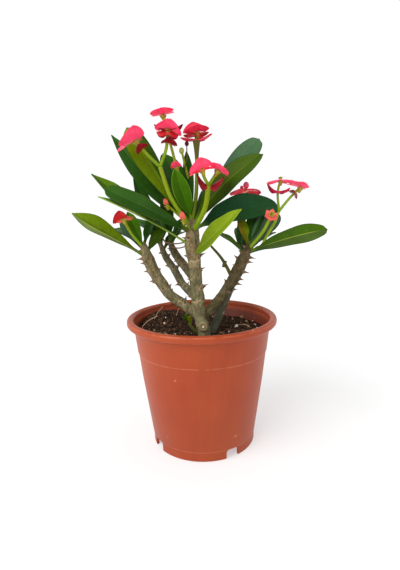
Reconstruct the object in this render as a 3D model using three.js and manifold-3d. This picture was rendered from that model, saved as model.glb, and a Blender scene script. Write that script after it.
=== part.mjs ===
// A flowering crown-of-thorns euphorbia in a plastic nursery pot, in millimetres, +Z up.
// The origin lies on the pot's axis, on the surface the pot stands on. -Y is the front, the side the
// blooms lean towards, and +X is to the right of someone who looks at the front.
//
// The plant has one woody body: a trunk, its branches and their thorns. Each branch ends in a leafy
// shoot, a green body with its leaves and flower stalks. Each pair of petal-like bracts is a piece of
// its own, threaded on a stalk below the stalk's yellow-green cup.
import * as THREE from "three";
import { mergeVertices } from "three/addons/utils/BufferGeometryUtils.js";
import Module from "manifold-3d";

const wasm = await Module();
wasm.setup();

// ---------------------------------------------------------------------------------------------
// Driving dimensions
// ---------------------------------------------------------------------------------------------

const GAP = 0.3; // left between two pieces that rest on each other

const POT = {
  rimRadius: 60,
  height: 103.9,
  lipHeight: 5.7,
  lipRound: 1.5, // of the lip's edges
  mouthRadius: 54.6,
  wall: 1.3,
  topRadius: 54.7, // of the wall, just under the lip
  stackRadius: 52.3, // of the wall at the stacking step, above which it flares more
  footRadius: 42,
  footHeight: 7.6,
  footWall: 2,
  stackLine: 77.4, // height of the step that stops stacked pots jamming
  step: 0.5,
  floor: 5,
  corner: 2, // of the inside, between the wall and the floor
  segments: 48,
};

// The drain notches in the foot. Each reaches in to a distance from the pot's axis.
const NOTCH = { count: 4, turn: 31, width: 11, height: 7.1, corner: 2.4, flare: 0.8, reach: 37.5 };

const SOIL = {
  level: 90,
  crumb: 1.1, // how uneven the surface is
  clear: 0.3, // beyond the usual gap to the wall, because both outlines have corners
  rings: 5,
  segments: 32,
  moundAt: [-36, 30],
  moundHeight: 9,
  moundSpread: 22,
};

const LEAF = {
  stations: [0, 0.12, 0.26, 0.42, 0.58, 0.74, 0.87, 0.95, 1], // shares of the length
  thick: 0.8,
  point: 0.5, // half the width of the very tip
  petioleWide: 1.9,
  petioleThick: 1.9,
  fold: 14, // how far each half is lifted about the rib, in degrees
};

// The waist of a pair of bracts is a share of its full breadth.
const BRACT = { thick: 0.8, waist: 0.62, bluntness: 0.5 };
const CUP = {
  neck: 0.9,
  radius: 1.8,
  height: 2.4,
  belly: 0.6, // share of the height at which the cup is full width
  hollow: 0.6,
  funnel: 2.9,
  funnelLength: 6,
  sunk: 0.5, // how far the middle of the funnel's top lies below the gap under the bracts
  dish: 0.4, // how far its brim lies below its middle
  grown: 1.2, // the radius of a stalk whose bloom is full-grown
  sides: 6,
};

// The leafy cone that carries the lower bracts of the upright bloom: how far back from the stalk's end
// it ends, its length and its radius there.
const SHEATH = { stalk: "upright", back: 7.6, length: 13, radius: 3.6 };

// Thorns stand in pairs, each spread to both sides of a leaf scar, and each pair is turned on from the
// one below it.
const THORN = { radius: 1.3, shortest: 2.3, longest: 4.7, sunk: 1.6, every: 6.8, lean: 0.25 };
const THORN_PAIR = { spread: 26, turn: 137.5 };

// How finely round pieces are divided: sides round them, and the length of a step along them.
const FACETS = {
  stem: { sides: 9, step: 7 },
  shoot: { sides: 8, step: 7 },
  stalk: { sides: 6, step: 10 },
  twig: { sides: 5, step: 5 },
};

// Each stem: the points of its axis, the radius at each, the length of its foot, which is in the soil
// or in another stem and has no thorns, and the length of its green, leafy end. A branch starts on
// the axis of the stem that bears it.
const STEMS = {
  centre: {
    path: [
      [2, -13, 56], [1.5, -14, 90], [-1.5, -11, 113], [-3.5, -8.5, 127], [-4.2, -5.5, 143],
      [-5.8, -3, 160], [-5.5, -1, 180],
    ],
    radii: [3.5, 5.2, 5.2, 5.3, 4.5, 6.2, 4.2],
    foot: 44,
    leafy: 32,
  },
  left: {
    path: [
      [-2, -11, 106], [-13, -8, 114], [-24, -8, 122], [-30, -8, 131], [-36, -8, 141], [-40, -8, 151],
      [-44, -8, 163],
    ],
    radii: [4.2, 4.1, 4.1, 4.3, 4.5, 4.6, 2.6],
    foot: 15,
    leafy: 18,
  },
  backLeft: {
    path: [[-3, -8, 118], [-16, 6, 130], [-22, 14, 140], [-29, 21, 149], [-34, 27, 160]],
    radii: [3.2, 3.1, 3, 3, 1.8],
    foot: 15,
    leafy: 12,
  },
  backMiddle: {
    path: [[-5, -5, 135], [-15, 5, 146], [-21, 10, 154], [-25, 15, 163]],
    radii: [3.6, 3.5, 3.3, 1.8],
    foot: 15,
    leafy: 11,
  },
  right: {
    path: [
      [0, -12, 103], [9.5, -10, 113], [17, -9, 122], [23.5, -8, 131], [28.5, -8, 140], [33, -7, 149],
      [39, -6, 161],
    ],
    radii: [4.1, 4, 4, 4.4, 4.7, 4.7, 2.2],
    foot: 15,
    leafy: 18,
  },
  backRight: {
    path: [[1, -11, 72], [8, -4, 90], [14, 1, 102], [20.5, 7, 115], [28, 15, 131], [36, 23, 151]],
    radii: [3, 3.5, 3.4, 3.2, 3, 1.8],
    foot: 32,
    leafy: 13,
  },
};

// Small things on the stems: the points of each axis, its radius where it starts and how much that
// falls over each millimetre.
const PRUNED_STUB = { path: [[1, -13, 97], [1, -20, 99.5]], radius: 3.6, thinning: 0.05 };
const SIDE_SHOOT = { path: [[0, -14, 91], [-7, -16, 97], [-10, -17, 102]], radius: 2.2, thinning: 0.09 };
const DRIED_STALK = { path: [[25, -8, 137], [19, -6, 149], [10, -3, 160]], radius: 1.5, thinning: 0.02 };
const DRIED_TWIG = { path: [[19, -6, 149], [16, -9, 147], [15.5, -10, 143]], radius: 0.8, thinning: 0 };
const SMALL_LEAF = { width: 3.6, bow: 0.6, roll: 0, broadest: 0.65, taper: 0.7, sweep: 0 };
const SMALL_LEAF_ROOT = [-9, -16.5, 100];
const SMALL_LEAF_TIPS = [[-15, -18, 107], [-9, -21, 108], [-13, -12, 108]];

// Each leaf: where its tip is, how far below the shoot's own tip it grows, its width, how far its
// middle bows up, how far it is rolled about its length towards the front, in degrees, where along
// its length it is broadest, how it tapers (0.4 is round, 1 is pointed) and how far its middle sags.
const LEAVES = {
  centre: [
    { tip: [-81, -2, 216], below: 8, width: 11, bow: 1, roll: 50, broadest: 0.76, taper: 0.9, sweep: 6 },
    { tip: [-67, -24, 203], below: 11, width: 16, bow: 5, roll: 62, broadest: 0.72, taper: 0.42, sweep: 1.5 },
    { tip: [-71, -27, 198], below: 21, width: 13, bow: 2, roll: 16, broadest: 0.72, taper: 0.9, sweep: 0 },
    { tip: [-69, 22, 248], below: 5, width: 17, bow: 2, roll: 65, broadest: 0.52, taper: 0.9, sweep: 2 },
    { tip: [-53, 0, 249], below: 4, width: 18, bow: 0, roll: 75, broadest: 0.76, taper: 0.5, sweep: 2 },
    { tip: [-29, 30, 234], below: 3, width: 20, bow: 3, roll: 10, broadest: 0.65, taper: 0.7, sweep: 0 },
    { tip: [-17, -22, 216], below: 2, width: 13, bow: -2, roll: 150, broadest: 0.6, taper: 0.7, sweep: 0 },
    { tip: [-9, 8, 232], below: 1, width: 8, bow: 2, roll: 20, broadest: 0.65, taper: 0.7, sweep: 0 },
    { tip: [46, -20, 225], below: 5, width: 21, bow: 4, roll: 66, broadest: 0.57, taper: 0.6, sweep: -3 },
    { tip: [50, 25, 243], below: 4, width: 18, bow: 2, roll: 60, broadest: 0.75, taper: 0.42, sweep: -1 },
    { tip: [64, 12, 188], below: 9, width: 23, bow: 6, roll: 60, broadest: 0.62, taper: 0.5, sweep: -5 },
    { tip: [28, -45, 187], below: 27, width: 22, bow: 1, roll: 60, broadest: 0.45, taper: 0.8, sweep: 2 },
    { tip: [-22, 57, 205], below: 9, width: 20, bow: 6, roll: 0, broadest: 0.7, taper: 0.5, sweep: 0 },
    { tip: [24, 58, 210], below: 7, width: 20, bow: 6, roll: 0, broadest: 0.7, taper: 0.5, sweep: 0 },
    { tip: [2, 59, 184], below: 15, width: 19, bow: 9, roll: 0, broadest: 0.7, taper: 0.5, sweep: 0 },
  ],
  left: [
    { tip: [-95, -12, 187], below: 12, width: 18, bow: 3, roll: 38, broadest: 0.7, taper: 0.9, sweep: 2 },
    { tip: [-61, 12, 184], below: 5, width: 15, bow: 2, roll: 40, broadest: 0.65, taper: 0.7, sweep: 0 },
    { tip: [-55, -4, 187], below: 3, width: 9, bow: 2, roll: 60, broadest: 0.65, taper: 0.7, sweep: 0 },
    { tip: [-34, 6, 185], below: 2, width: 11, bow: 1, roll: 0, broadest: 0.65, taper: 0.7, sweep: 0 },
    { tip: [-27, 2, 176], below: 8, width: 10, bow: 1, roll: 40, broadest: 0.65, taper: 0.7, sweep: 0 },
    { tip: [-78, 22, 172], below: 8, width: 17, bow: 6, roll: 0, broadest: 0.7, taper: 0.5, sweep: 0 },
  ],
  backLeft: [
    { tip: [-55, 34, 215], below: 2, width: 12, bow: 2, roll: 40, broadest: 0.6, taper: 0.8, sweep: 0 },
    { tip: [-66, 48, 181], below: 5, width: 17, bow: 6, roll: 0, broadest: 0.7, taper: 0.5, sweep: 0 },
    { tip: [-36, 59, 184], below: 4, width: 16, bow: 5, roll: 0, broadest: 0.7, taper: 0.5, sweep: 0 },
    { tip: [-14, 52, 168], below: 7, width: 14, bow: 4, roll: 0, broadest: 0.7, taper: 0.5, sweep: 0 },
  ],
  backMiddle: [
    { tip: [-30, 22, 200], below: 2, width: 12, bow: 2, roll: 0, broadest: 0.65, taper: 0.7, sweep: 0 },
    { tip: [-8, 40, 182], below: 4, width: 13, bow: 3, roll: 0, broadest: 0.7, taper: 0.5, sweep: 0 },
  ],
  right: [
    { tip: [95, -15, 171], below: 8, width: 15, bow: 2, roll: 62, broadest: 0.7, taper: 0.45, sweep: -1 },
    { tip: [63, 14, 184], below: 5, width: 17, bow: 3, roll: 40, broadest: 0.65, taper: 0.5, sweep: 0 },
    { tip: [32, 10, 181], below: 4, width: 9, bow: 1, roll: 0, broadest: 0.65, taper: 0.7, sweep: 0 },
    { tip: [49, 16, 186], below: 3, width: 14, bow: 2, roll: 0, broadest: 0.65, taper: 0.7, sweep: 0 },
    { tip: [11, 14, 170], below: 9, width: 10, bow: 2, roll: 0, broadest: 0.65, taper: 0.7, sweep: 0 },
    { tip: [70, 42, 155], below: 8, width: 15, bow: 0, roll: 0, broadest: 0.7, taper: 0.5, sweep: 0 },
  ],
  backRight: [
    { tip: [38, 24, 184], below: 2, width: 11, bow: 2, roll: 0, broadest: 0.65, taper: 0.7, sweep: 0 },
    { tip: [56, 54, 166], below: 5, width: 16, bow: 5, roll: 0, broadest: 0.7, taper: 0.5, sweep: 0 },
    { tip: [40, 59.5, 170], below: 3, width: 15, bow: 5, roll: 0, broadest: 0.7, taper: 0.5, sweep: 0 },
    { tip: [66, 34, 167], below: 6, width: 13, bow: 3, roll: 0, broadest: 0.7, taper: 0.5, sweep: 0 },
  ],
};

// Each flower stalk: the shoot that bears it, how far below that shoot's tip, the points it passes
// and its radius. A stalk that forks off another names it in "from" and starts at that one's end.
// "facing" is the way its bloom faces; a stalk without one ends in a fork.
const STALKS = {
  tall: { shoot: "centre", below: 7, path: [[-20, -8, 195], [-28, -12, 219]], radius: 1.7 },
  tallLeft: {
    from: "tall", path: [[-37, -16, 228], [-44, -18, 237]],
    radius: 1.2, facing: [-0.5, 0.1, 1],
  },
  tallRight: {
    from: "tall", path: [[-23, -13, 231], [-21, -14, 245]],
    radius: 1.2, facing: [0.2, 0.1, 1],
  },
  top: {
    shoot: "centre", below: 4, path: [[-13, -1, 205], [-19, 0, 230], [-25.4, -1, 257.6]],
    radius: 1.1, facing: [-0.15, 0.05, 1],
  },
  upright: {
    shoot: "centre", below: 3, path: [[-2, -6, 200], [-1, -4, 226], [-1, -1, 245]],
    radius: 1.4, facing: [-0.14, 0.1, 1],
  },
  front: { shoot: "centre", below: 10, path: [[4, -15, 188], [7, -27, 204]], radius: 1.9 },
  frontLeft: { from: "front", path: [[4, -31, 209], [2, -33, 215]], radius: 1.1, facing: [-0.4, 0.1, 1] },
  frontRight: {
    from: "front", path: [[11, -27, 210], [14, -27, 214.5]],
    radius: 1.1, facing: [0.55, 0.1, 1],
  },
  side: {
    shoot: "centre", below: 3, path: [[-11, -9, 205], [-16, -12, 219]],
    radius: 0.9, facing: [-0.2, 0.1, 1],
  },
  bud: { shoot: "centre", below: 2, path: [[-7, 3, 205], [-12, 0, 230]], radius: 0.9, facing: [0, 0, 1] },
  low: { shoot: "centre", below: 9, path: [[-12, -16, 181]], radius: 0.9, facing: [-0.15, 0.1, 1] },
  lowLeft: { shoot: "centre", below: 6, path: [[-24.6, -7, 192]], radius: 0.9, facing: [-0.3, 0.1, 1] },
  rightBack: {
    shoot: "right", below: 4, path: [[42, 18, 184], [38, 20, 203]],
    radius: 1.2, facing: [0, 0.3, 1],
  },
  arch: {
    shoot: "right", below: 5,
    path: [[45.7, -7.5, 157.6], [51.4, -7.5, 167.4], [57.4, -5, 176.5], [61.3, -2, 185]],
    radius: 1.1,
  },
  archLeft: {
    from: "arch", path: [[60.4, -1, 199.5], [62.3, -1, 208.5]],
    radius: 0.9, facing: [0, 0.1, 1],
  },
  archRight: { from: "arch", path: [[68, -3, 193.5], [77, -5, 203]], radius: 1, facing: [0.35, 0.1, 1] },
  star: {
    shoot: "right", below: 6, path: [[48, -12, 171], [53, -15, 182]],
    radius: 1.2, facing: [0.1, -1, 0.6],
  },
  leftLow: {
    shoot: "left", below: 4, path: [[-51, -14, 171], [-55.5, -22, 183]],
    radius: 1.1, facing: [-0.4, 0, 1],
  },
};

// Each pair of bracts: the stalk it is threaded on, how far back from the stalk's end, the length of
// one bract, how far its left and right sides reach as shares of that, the way it is turned about the
// stalk, how far the end of each bract droops, in degrees, how far the sides droop as a share of their
// reach, and its colour. At a turn of 90 the first bract is the nearer one.
const BRACTS = {
  tall_left: {
    stalk: "tallLeft", back: 0, size: 11, sides: [1.35, 0.6], turn: 110,
    droops: [-28, -25], dome: 0.15, colour: "pink",
  },
  tall_left_lower: {
    stalk: "tallLeft", back: 7.5, size: 6.5, sides: [0.8, 0.8], turn: 90,
    droops: [-30, -25], dome: 0.22, colour: "crimson",
  },
  tall_right: {
    stalk: "tallRight", back: 0, size: 9.5, sides: [1, 1.1], turn: 92,
    droops: [-22, -46], dome: 0.4, colour: "pink",
  },
  tall_right_lower: {
    stalk: "tallRight", back: 9.5, size: 6.5, sides: [0.65, 1.15], turn: 105,
    droops: [-28, -20], dome: 0.3, colour: "crimson",
  },
  top: {
    stalk: "top", back: 0, size: 8.5, sides: [1.12, 1.05], turn: 90,
    droops: [-14, -26], dome: 0, colour: "pink",
  },
  upright: {
    stalk: "upright", back: 0, size: 9, sides: [1.1, 1.08], turn: 98,
    droops: [-12, -48], dome: 0.12, colour: "pink",
  },
  upright_lower: {
    stalk: "upright", back: 6.5, size: 11.5, sides: [0.32, 0.32], turn: 0,
    droops: [-10, -20], dome: 0.1, colour: "crimson",
  },
  front_left: {
    stalk: "frontLeft", back: 0, size: 10, sides: [0.95, 0.75], turn: 95,
    droops: [-26, -18], dome: 0.22, colour: "pink",
  },
  front_right: {
    stalk: "frontRight", back: 0, size: 8.5, sides: [0.9, 1], turn: 85,
    droops: [-12, -12], dome: 0.1, colour: "pink",
  },
  front_lower: {
    stalk: "front", back: 0.5, size: 9.5, sides: [0.6, 0.6], turn: 0,
    droops: [-42, -42], dome: 0.6, colour: "crimson",
  },
  side: {
    stalk: "side", back: 0, size: 5.5, sides: [0.75, 0.75], turn: 85,
    droops: [-25, -20], dome: 0.22, colour: "pink",
  },
  low: {
    stalk: "low", back: 0, size: 5, sides: [0.5, 0.45], turn: 90,
    droops: [-45, -40], dome: 0, colour: "coral",
  },
  low_left: {
    stalk: "lowLeft", back: 0, size: 4, sides: [0.5, 0.5], turn: 90,
    droops: [-45, -40], dome: 0, colour: "coral",
  },
  right_back: {
    stalk: "rightBack", back: 0, size: 13, sides: [0.6, 0.6], turn: 10,
    droops: [16, 10], dome: 0.22, colour: "pink",
  },
  arch_left: {
    stalk: "archLeft", back: 0, size: 9.5, sides: [0.45, 0.45], turn: 0,
    droops: [10, 4], dome: -0.1, colour: "pink",
  },
  arch_left_lower: {
    stalk: "archLeft", back: 8.5, size: 9, sides: [0.45, 0.45], turn: 0,
    droops: [-31, -20], dome: 0.2, colour: "crimson",
  },
  arch_right: {
    stalk: "archRight", back: 0, size: 9, sides: [1.4, 0.6], turn: 90,
    droops: [-10, -8], dome: 0.1, colour: "pink",
  },
  arch_right_lower: {
    stalk: "archRight", back: 6.5, size: 5, sides: [0.65, 0.65], turn: 60,
    droops: [-12, -12], dome: 0.22, colour: "crimson",
  },
  star: {
    stalk: "star", back: 0, size: 6.3, sides: [0.45, 0.45], turn: 15,
    droops: [-12, -12], dome: 0.22, colour: "coral", crossed: true,
  },
  left_low: {
    stalk: "leftLow", back: 0, size: 8, sides: [1, 0.5], turn: 95,
    droops: [-32, -20], dome: 0.3, colour: "coral",
  },
};

// ---------------------------------------------------------------------------------------------
// Materials
// ---------------------------------------------------------------------------------------------

const material = (color, roughness) => new THREE.MeshStandardMaterial({ color, roughness, metalness: 0 });

const MATERIALS = {
  pot: material(0xb5532f, 0.45),
  soil: material(0x2e2019, 0.95),
  bark: material(0x77705a, 0.8),
  leaf: material(0x3f6a1c, 0.42),
  pink: material(0xee4a72, 0.55),
  crimson: material(0x9c1430, 0.55),
  coral: material(0xe9776a, 0.6),
};

// ---------------------------------------------------------------------------------------------
// Geometry helpers
// ---------------------------------------------------------------------------------------------

const UP = new THREE.Vector3(0, 0, 1);
const vector = ([x, y, z]) => new THREE.Vector3(x, y, z);
const radians = THREE.MathUtils.degToRad;
const lerp = THREE.MathUtils.lerp;
const smooth = THREE.MathUtils.smoothstep;

// Repeatable random numbers from 0 to 1.
function randomFrom(seed) {
  let state = seed;
  return () => {
    state = (state * 1664525 + 1013904223) % 4294967296;
    return state / 4294967296;
  };
}

function indexed(points, index) {
  const geometry = new THREE.BufferGeometry().setFromPoints(points);
  geometry.setIndex(index);
  return geometry;
}

// A closed geometry as a solid that can be joined and cut.
function solid(geometry) {
  const bare = geometry.clone();
  bare.deleteAttribute("normal");
  bare.deleteAttribute("uv");
  const merged = mergeVertices(bare, 1e-4);
  return new wasm.Manifold(
    new wasm.Mesh({
      numProp: 3,
      vertProperties: merged.attributes.position.array,
      triVerts: new Uint32Array(merged.index.array),
    }),
  );
}

const joined = (solids) => wasm.Manifold.union(solids);

function meshOf(name, made, finish) {
  const { numProp, vertProperties, triVerts } = made.getMesh();
  const position = new THREE.BufferAttribute(new Float32Array(vertProperties), numProp);
  const geometry = new THREE.BufferGeometry().setAttribute("position", position);
  geometry.setIndex(new THREE.BufferAttribute(new Uint32Array(triVerts), 1));
  const flat = geometry.toNonIndexed();
  flat.computeVertexNormals();
  const mesh = new THREE.Mesh(flat, finish);
  mesh.name = name;
  return mesh;
}

// A skin over rings of equally many points, with a fan over each end. The points of a ring run
// anticlockwise as seen from the last ring.
function loft(rings) {
  const count = rings[0].length;
  const last = rings.length - 1;
  const at = (i, j) => i * count + (j % count);
  const index = [];
  for (let i = 0; i < last; i++)
    for (let j = 0; j < count; j++)
      index.push(at(i, j), at(i, j + 1), at(i + 1, j + 1), at(i, j), at(i + 1, j + 1), at(i + 1, j));
  for (let j = 1; j < count - 1; j++)
    index.push(at(0, 0), at(0, j + 1), at(0, j), at(last, 0), at(last, j), at(last, j + 1));
  return indexed(rings.flat(), index);
}

// A plate between two grids of points, split into the same triangles on both faces.
function plate(upper, lower) {
  const rows = upper.length;
  const columns = upper[0].length;
  const top = (i, j) => i * columns + j;
  const under = (i, j) => (rows + i) * columns + j;
  const index = [];
  for (let i = 0; i < rows - 1; i++)
    for (let j = 0; j < columns - 1; j++) {
      index.push(top(i, j), top(i, j + 1), top(i + 1, j + 1), top(i, j), top(i + 1, j + 1), top(i + 1, j));
      index.push(under(i, j), under(i + 1, j + 1), under(i, j + 1));
      index.push(under(i, j), under(i + 1, j), under(i + 1, j + 1));
    }
  const wall = (i, j, k, l) =>
    index.push(top(i, j), under(i, j), under(k, l), top(i, j), under(k, l), top(k, l));
  for (let j = 0; j < columns - 1; j++) {
    wall(0, j, 0, j + 1);
    wall(rows - 1, j + 1, rows - 1, j);
  }
  for (let i = 0; i < rows - 1; i++) {
    wall(i + 1, 0, i, 0);
    wall(i, columns - 1, i + 1, columns - 1);
  }
  return indexed([...upper.flat(), ...lower.flat()], index);
}

// A point a given distance along an axis, and the axis's direction there.
function along(curve, distance) {
  const share = THREE.MathUtils.clamp(distance / curve.getLength(), 0, 1);
  return { point: curve.getPointAt(share), heading: curve.getTangentAt(share).normalize() };
}

// Two unit vectors at right angles to a heading; the first lies level, or along X if it points up.
function crossways(heading) {
  const level = new THREE.Vector3().crossVectors(heading, UP);
  if (level.length() < 0.05) level.set(1, 0, 0);
  level.normalize();
  return [level, new THREE.Vector3().crossVectors(level, heading).normalize()];
}

// A round rod along a curve from one distance to another, with a radius that follows a function.
function rod(curve, from, to, radiusAt, { sides, step }) {
  const count = Math.max(1, Math.round((to - from) / step));
  const rings = [];
  const [side, over] = crossways(along(curve, from).heading);
  for (let i = 0; i <= count; i++) {
    const { point, heading } = along(curve, lerp(from, to, i / count));
    // The cross-section is carried along by removing what leans into the new heading.
    side.addScaledVector(heading, -side.dot(heading)).normalize();
    over.crossVectors(side, heading).normalize();
    const radius = radiusAt(lerp(from, to, i / count));
    const ring = [];
    for (let j = 0; j < sides; j++) {
      const angle = (-2 * Math.PI * j) / sides;
      ring.push(
        point
          .clone()
          .addScaledVector(side, radius * Math.cos(angle))
          .addScaledVector(over, radius * Math.sin(angle)),
      );
    }
    rings.push(ring);
  }
  return loft(rings);
}

const pathOf = (points) => new THREE.CatmullRomCurve3(points.map(vector), false, "centripetal");

// A whole rod that thins evenly from its start.
function twig({ path, radius, thinning }, facets) {
  const axis = pathOf(path);
  return solid(rod(axis, 0, axis.getLength(), (distance) => radius - thinning * distance, facets));
}

// ---------------------------------------------------------------------------------------------
// Pot
// ---------------------------------------------------------------------------------------------

// The radius of the pot's outer wall at a height between the foot and the lip.
function wallRadius(z) {
  const { height, lipHeight, footHeight, footRadius, stackLine, stackRadius, topRadius, step } = POT;
  if (z < stackLine)
    return lerp(footRadius + step, stackRadius, (z - footHeight) / (stackLine - footHeight));
  return lerp(stackRadius, topRadius, (z - stackLine) / (height - lipHeight - stackLine));
}

function potShell() {
  const { rimRadius, height, lipHeight, lipRound, mouthRadius, wall, topRadius } = POT;
  const { footRadius, footHeight, footWall, stackLine, step, floor, corner, segments } = POT;
  const lipUnder = height - lipHeight;
  const cornerTop = footHeight + corner;
  const inner = (z) => wallRadius(z) - wall;
  const profile = [
    [0, floor],
    [footRadius - footWall, floor],
    [footRadius - footWall, 0],
    [footRadius, 0],
    [wallRadius(footHeight), footHeight],
    [wallRadius(stackLine) - step, stackLine - step / 2],
    [wallRadius(stackLine), stackLine + step / 2],
    [topRadius, lipUnder],
    [rimRadius - lipRound, lipUnder],
    [rimRadius, lipUnder + lipRound],
    [rimRadius, height - lipRound],
    [rimRadius - lipRound, height],
    [mouthRadius + lipRound, height],
    [mouthRadius, height - lipRound],
    [inner(lipUnder - wall), lipUnder - wall],
    [inner(stackLine) - step, stackLine],
    [inner(cornerTop), cornerTop],
    [inner(cornerTop) - corner, floor + wall],
    [0, floor + wall],
  ];
  const points = profile.map(([r, z]) => new THREE.Vector2(r, z));
  return solid(new THREE.LatheGeometry(points, segments).rotateX(Math.PI / 2));
}

// A drain notch: an arch-cornered slot through the foot and the edge of the floor.
function notchCutter(turn) {
  const { width, height, corner, flare, reach } = NOTCH;
  const half = width / 2;
  const outline = new THREE.Shape()
    .moveTo(-half - flare, -1)
    .lineTo(-half, height - corner)
    .quadraticCurveTo(-half, height, -half + corner, height)
    .lineTo(half - corner, height)
    .quadraticCurveTo(half, height, half, height - corner)
    .lineTo(half + flare, -1);
  const depth = POT.rimRadius - reach;
  const slot = new THREE.ExtrudeGeometry(outline, { depth, bevelEnabled: false, curveSegments: 3 });
  slot.rotateX(Math.PI / 2).translate(0, POT.rimRadius, 0); // the slot's depth now runs along Y
  return solid(slot.rotateZ(radians(turn - 90)));
}

function pot() {
  const turns = Array.from({ length: NOTCH.count }, (_, i) => NOTCH.turn + (i * 360) / NOTCH.count);
  return turns.reduce((shell, turn) => shell.subtract(notchCutter(turn)), potShell());
}

// ---------------------------------------------------------------------------------------------
// Stems and thorns
// ---------------------------------------------------------------------------------------------

const AXES = Object.fromEntries(Object.entries(STEMS).map(([name, { path }]) => [name, pathOf(path)]));

// The radius of a stem at a distance along its axis, from the radii at its points.
function stemRadius(name, distance) {
  const { radii } = STEMS[name];
  const curve = AXES[name];
  const t = curve.getUtoTmapping(THREE.MathUtils.clamp(distance / curve.getLength(), 0, 1));
  const place = t * (radii.length - 1);
  const i = Math.min(Math.floor(place), radii.length - 2);
  return lerp(radii[i], radii[i + 1], place - i);
}

// The distance along a stem's axis at which its bark ends and its leafy shoot starts.
const leafyStart = (name) => AXES[name].getLength() - STEMS[name].leafy;

function stemRod(name, from, to, facets, extra = 0) {
  return solid(rod(AXES[name], from, to, (distance) => stemRadius(name, distance) + extra, facets));
}

// A thorn that grows from a stem at a distance along it, on the side given by an angle.
function thorn(name, distance, angle, length) {
  const { point, heading } = along(AXES[name], distance);
  const [side, over] = crossways(heading);
  const outwards = side.multiplyScalar(Math.cos(angle)).addScaledVector(over, Math.sin(angle));
  const lean = outwards.clone().addScaledVector(heading, THORN.lean).normalize();
  const root = point.addScaledVector(outwards, stemRadius(name, distance) - THORN.sunk);
  const cone = new THREE.ConeGeometry(THORN.radius, length + THORN.sunk, 3);
  cone.translate(0, (length + THORN.sunk) / 2, 0);
  cone.applyQuaternion(new THREE.Quaternion().setFromUnitVectors(new THREE.Vector3(0, 1, 0), lean));
  return solid(cone.translate(root.x, root.y, root.z));
}

// The pairs of thorns between two distances along a stem. They climb it in a spiral.
function thorns(name, from, to, random) {
  const made = [];
  let turn = random() * 360;
  for (let distance = from; distance < to; distance += THORN.every) {
    turn += THORN_PAIR.turn;
    for (const beside of [-THORN_PAIR.spread, THORN_PAIR.spread]) {
      const length = lerp(THORN.shortest, THORN.longest, random());
      made.push(thorn(name, distance + random(), radians(turn + beside), length));
    }
  }
  return made;
}

// A young side shoot with three small leaves, beside the trunk's foot.
function sideShoot() {
  const root = vector(SMALL_LEAF_ROOT);
  const leaves = SMALL_LEAF_TIPS.map((tip) => leafBlade(root, { ...SMALL_LEAF, tip }));
  return joined([twig(SIDE_SHOOT, FACETS.twig), ...leaves]);
}

// The trunk and branches as one body, with what is left where a branch was cut off at the trunk's
// foot, the side shoot, and a dried flower stalk that still hangs on the right branch.
function stems() {
  const random = randomFrom(11);
  const pieces = [twig(PRUNED_STUB, FACETS.stem), sideShoot()];
  pieces.push(twig(DRIED_STALK, FACETS.twig), twig(DRIED_TWIG, FACETS.twig));
  for (const name of Object.keys(STEMS)) {
    const top = leafyStart(name) - GAP / 2;
    pieces.push(stemRod(name, 0, top, FACETS.stem));
    pieces.push(...thorns(name, STEMS[name].foot, top - THORN.every / 3, random));
  }
  return joined(pieces);
}

// ---------------------------------------------------------------------------------------------
// Soil
// ---------------------------------------------------------------------------------------------

// The height of the soil's surface: level, with a mound and small random unevenness.
function soilHeight(x, y, random) {
  const [moundX, moundY] = SOIL.moundAt;
  const away = (x - moundX) ** 2 + (y - moundY) ** 2;
  const mound = Math.exp(-away / (2 * SOIL.moundSpread ** 2));
  return SOIL.level + SOIL.moundHeight * mound + SOIL.crumb * (random() - 0.5);
}

function soilRing(radius, heightAt) {
  return Array.from({ length: SOIL.segments }, (_, j) => {
    const angle = (2 * Math.PI * j) / SOIL.segments;
    const x = radius * Math.cos(angle);
    const y = radius * Math.sin(angle);
    return new THREE.Vector3(x, y, heightAt(x, y));
  });
}

// A plug that fills the pot, with a plain hole for each of the two stems that are rooted in it.
function soil() {
  const random = randomFrom(5);
  const { level, clear, rings } = SOIL;
  const radiusAt = (z) => wallRadius(z) - POT.wall - POT.step - clear - GAP;
  const cornerTop = POT.footHeight + 1.5 * POT.corner;
  const bottom = soilRing(radiusAt(cornerTop) - POT.corner, () => POT.floor + POT.wall + GAP);
  const corner = soilRing(radiusAt(cornerTop), () => cornerTop);
  const surface = Array.from({ length: rings }, (_, i) =>
    soilRing(radiusAt(level) * (1 - i / rings), (x, y) => soilHeight(x, y, random)),
  );
  const plug = solid(loft([bottom, corner, ...surface]));
  const hole = (name) => stemRod(name, 0, STEMS[name].foot, FACETS.stem, GAP);
  return plug.subtract(hole("centre")).subtract(hole("backRight"));
}

// ---------------------------------------------------------------------------------------------
// Leafy shoots
// ---------------------------------------------------------------------------------------------

// Half the width of a leaf at a share of its length: a narrow stalk, then a blade that is broadest at
// a given share and runs out to a point, or to a round end where the taper is low.
function leafHalfWidth(share, { width, broadest, taper }) {
  const power = Math.log(0.5) / Math.log(broadest);
  const blade = Math.sin(Math.PI * Math.min(share, 0.995) ** power) ** taper;
  return Math.max(LEAF.petioleWide / 2, (width / 2) * blade * smooth(share, 0.02, 0.3));
}

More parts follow.
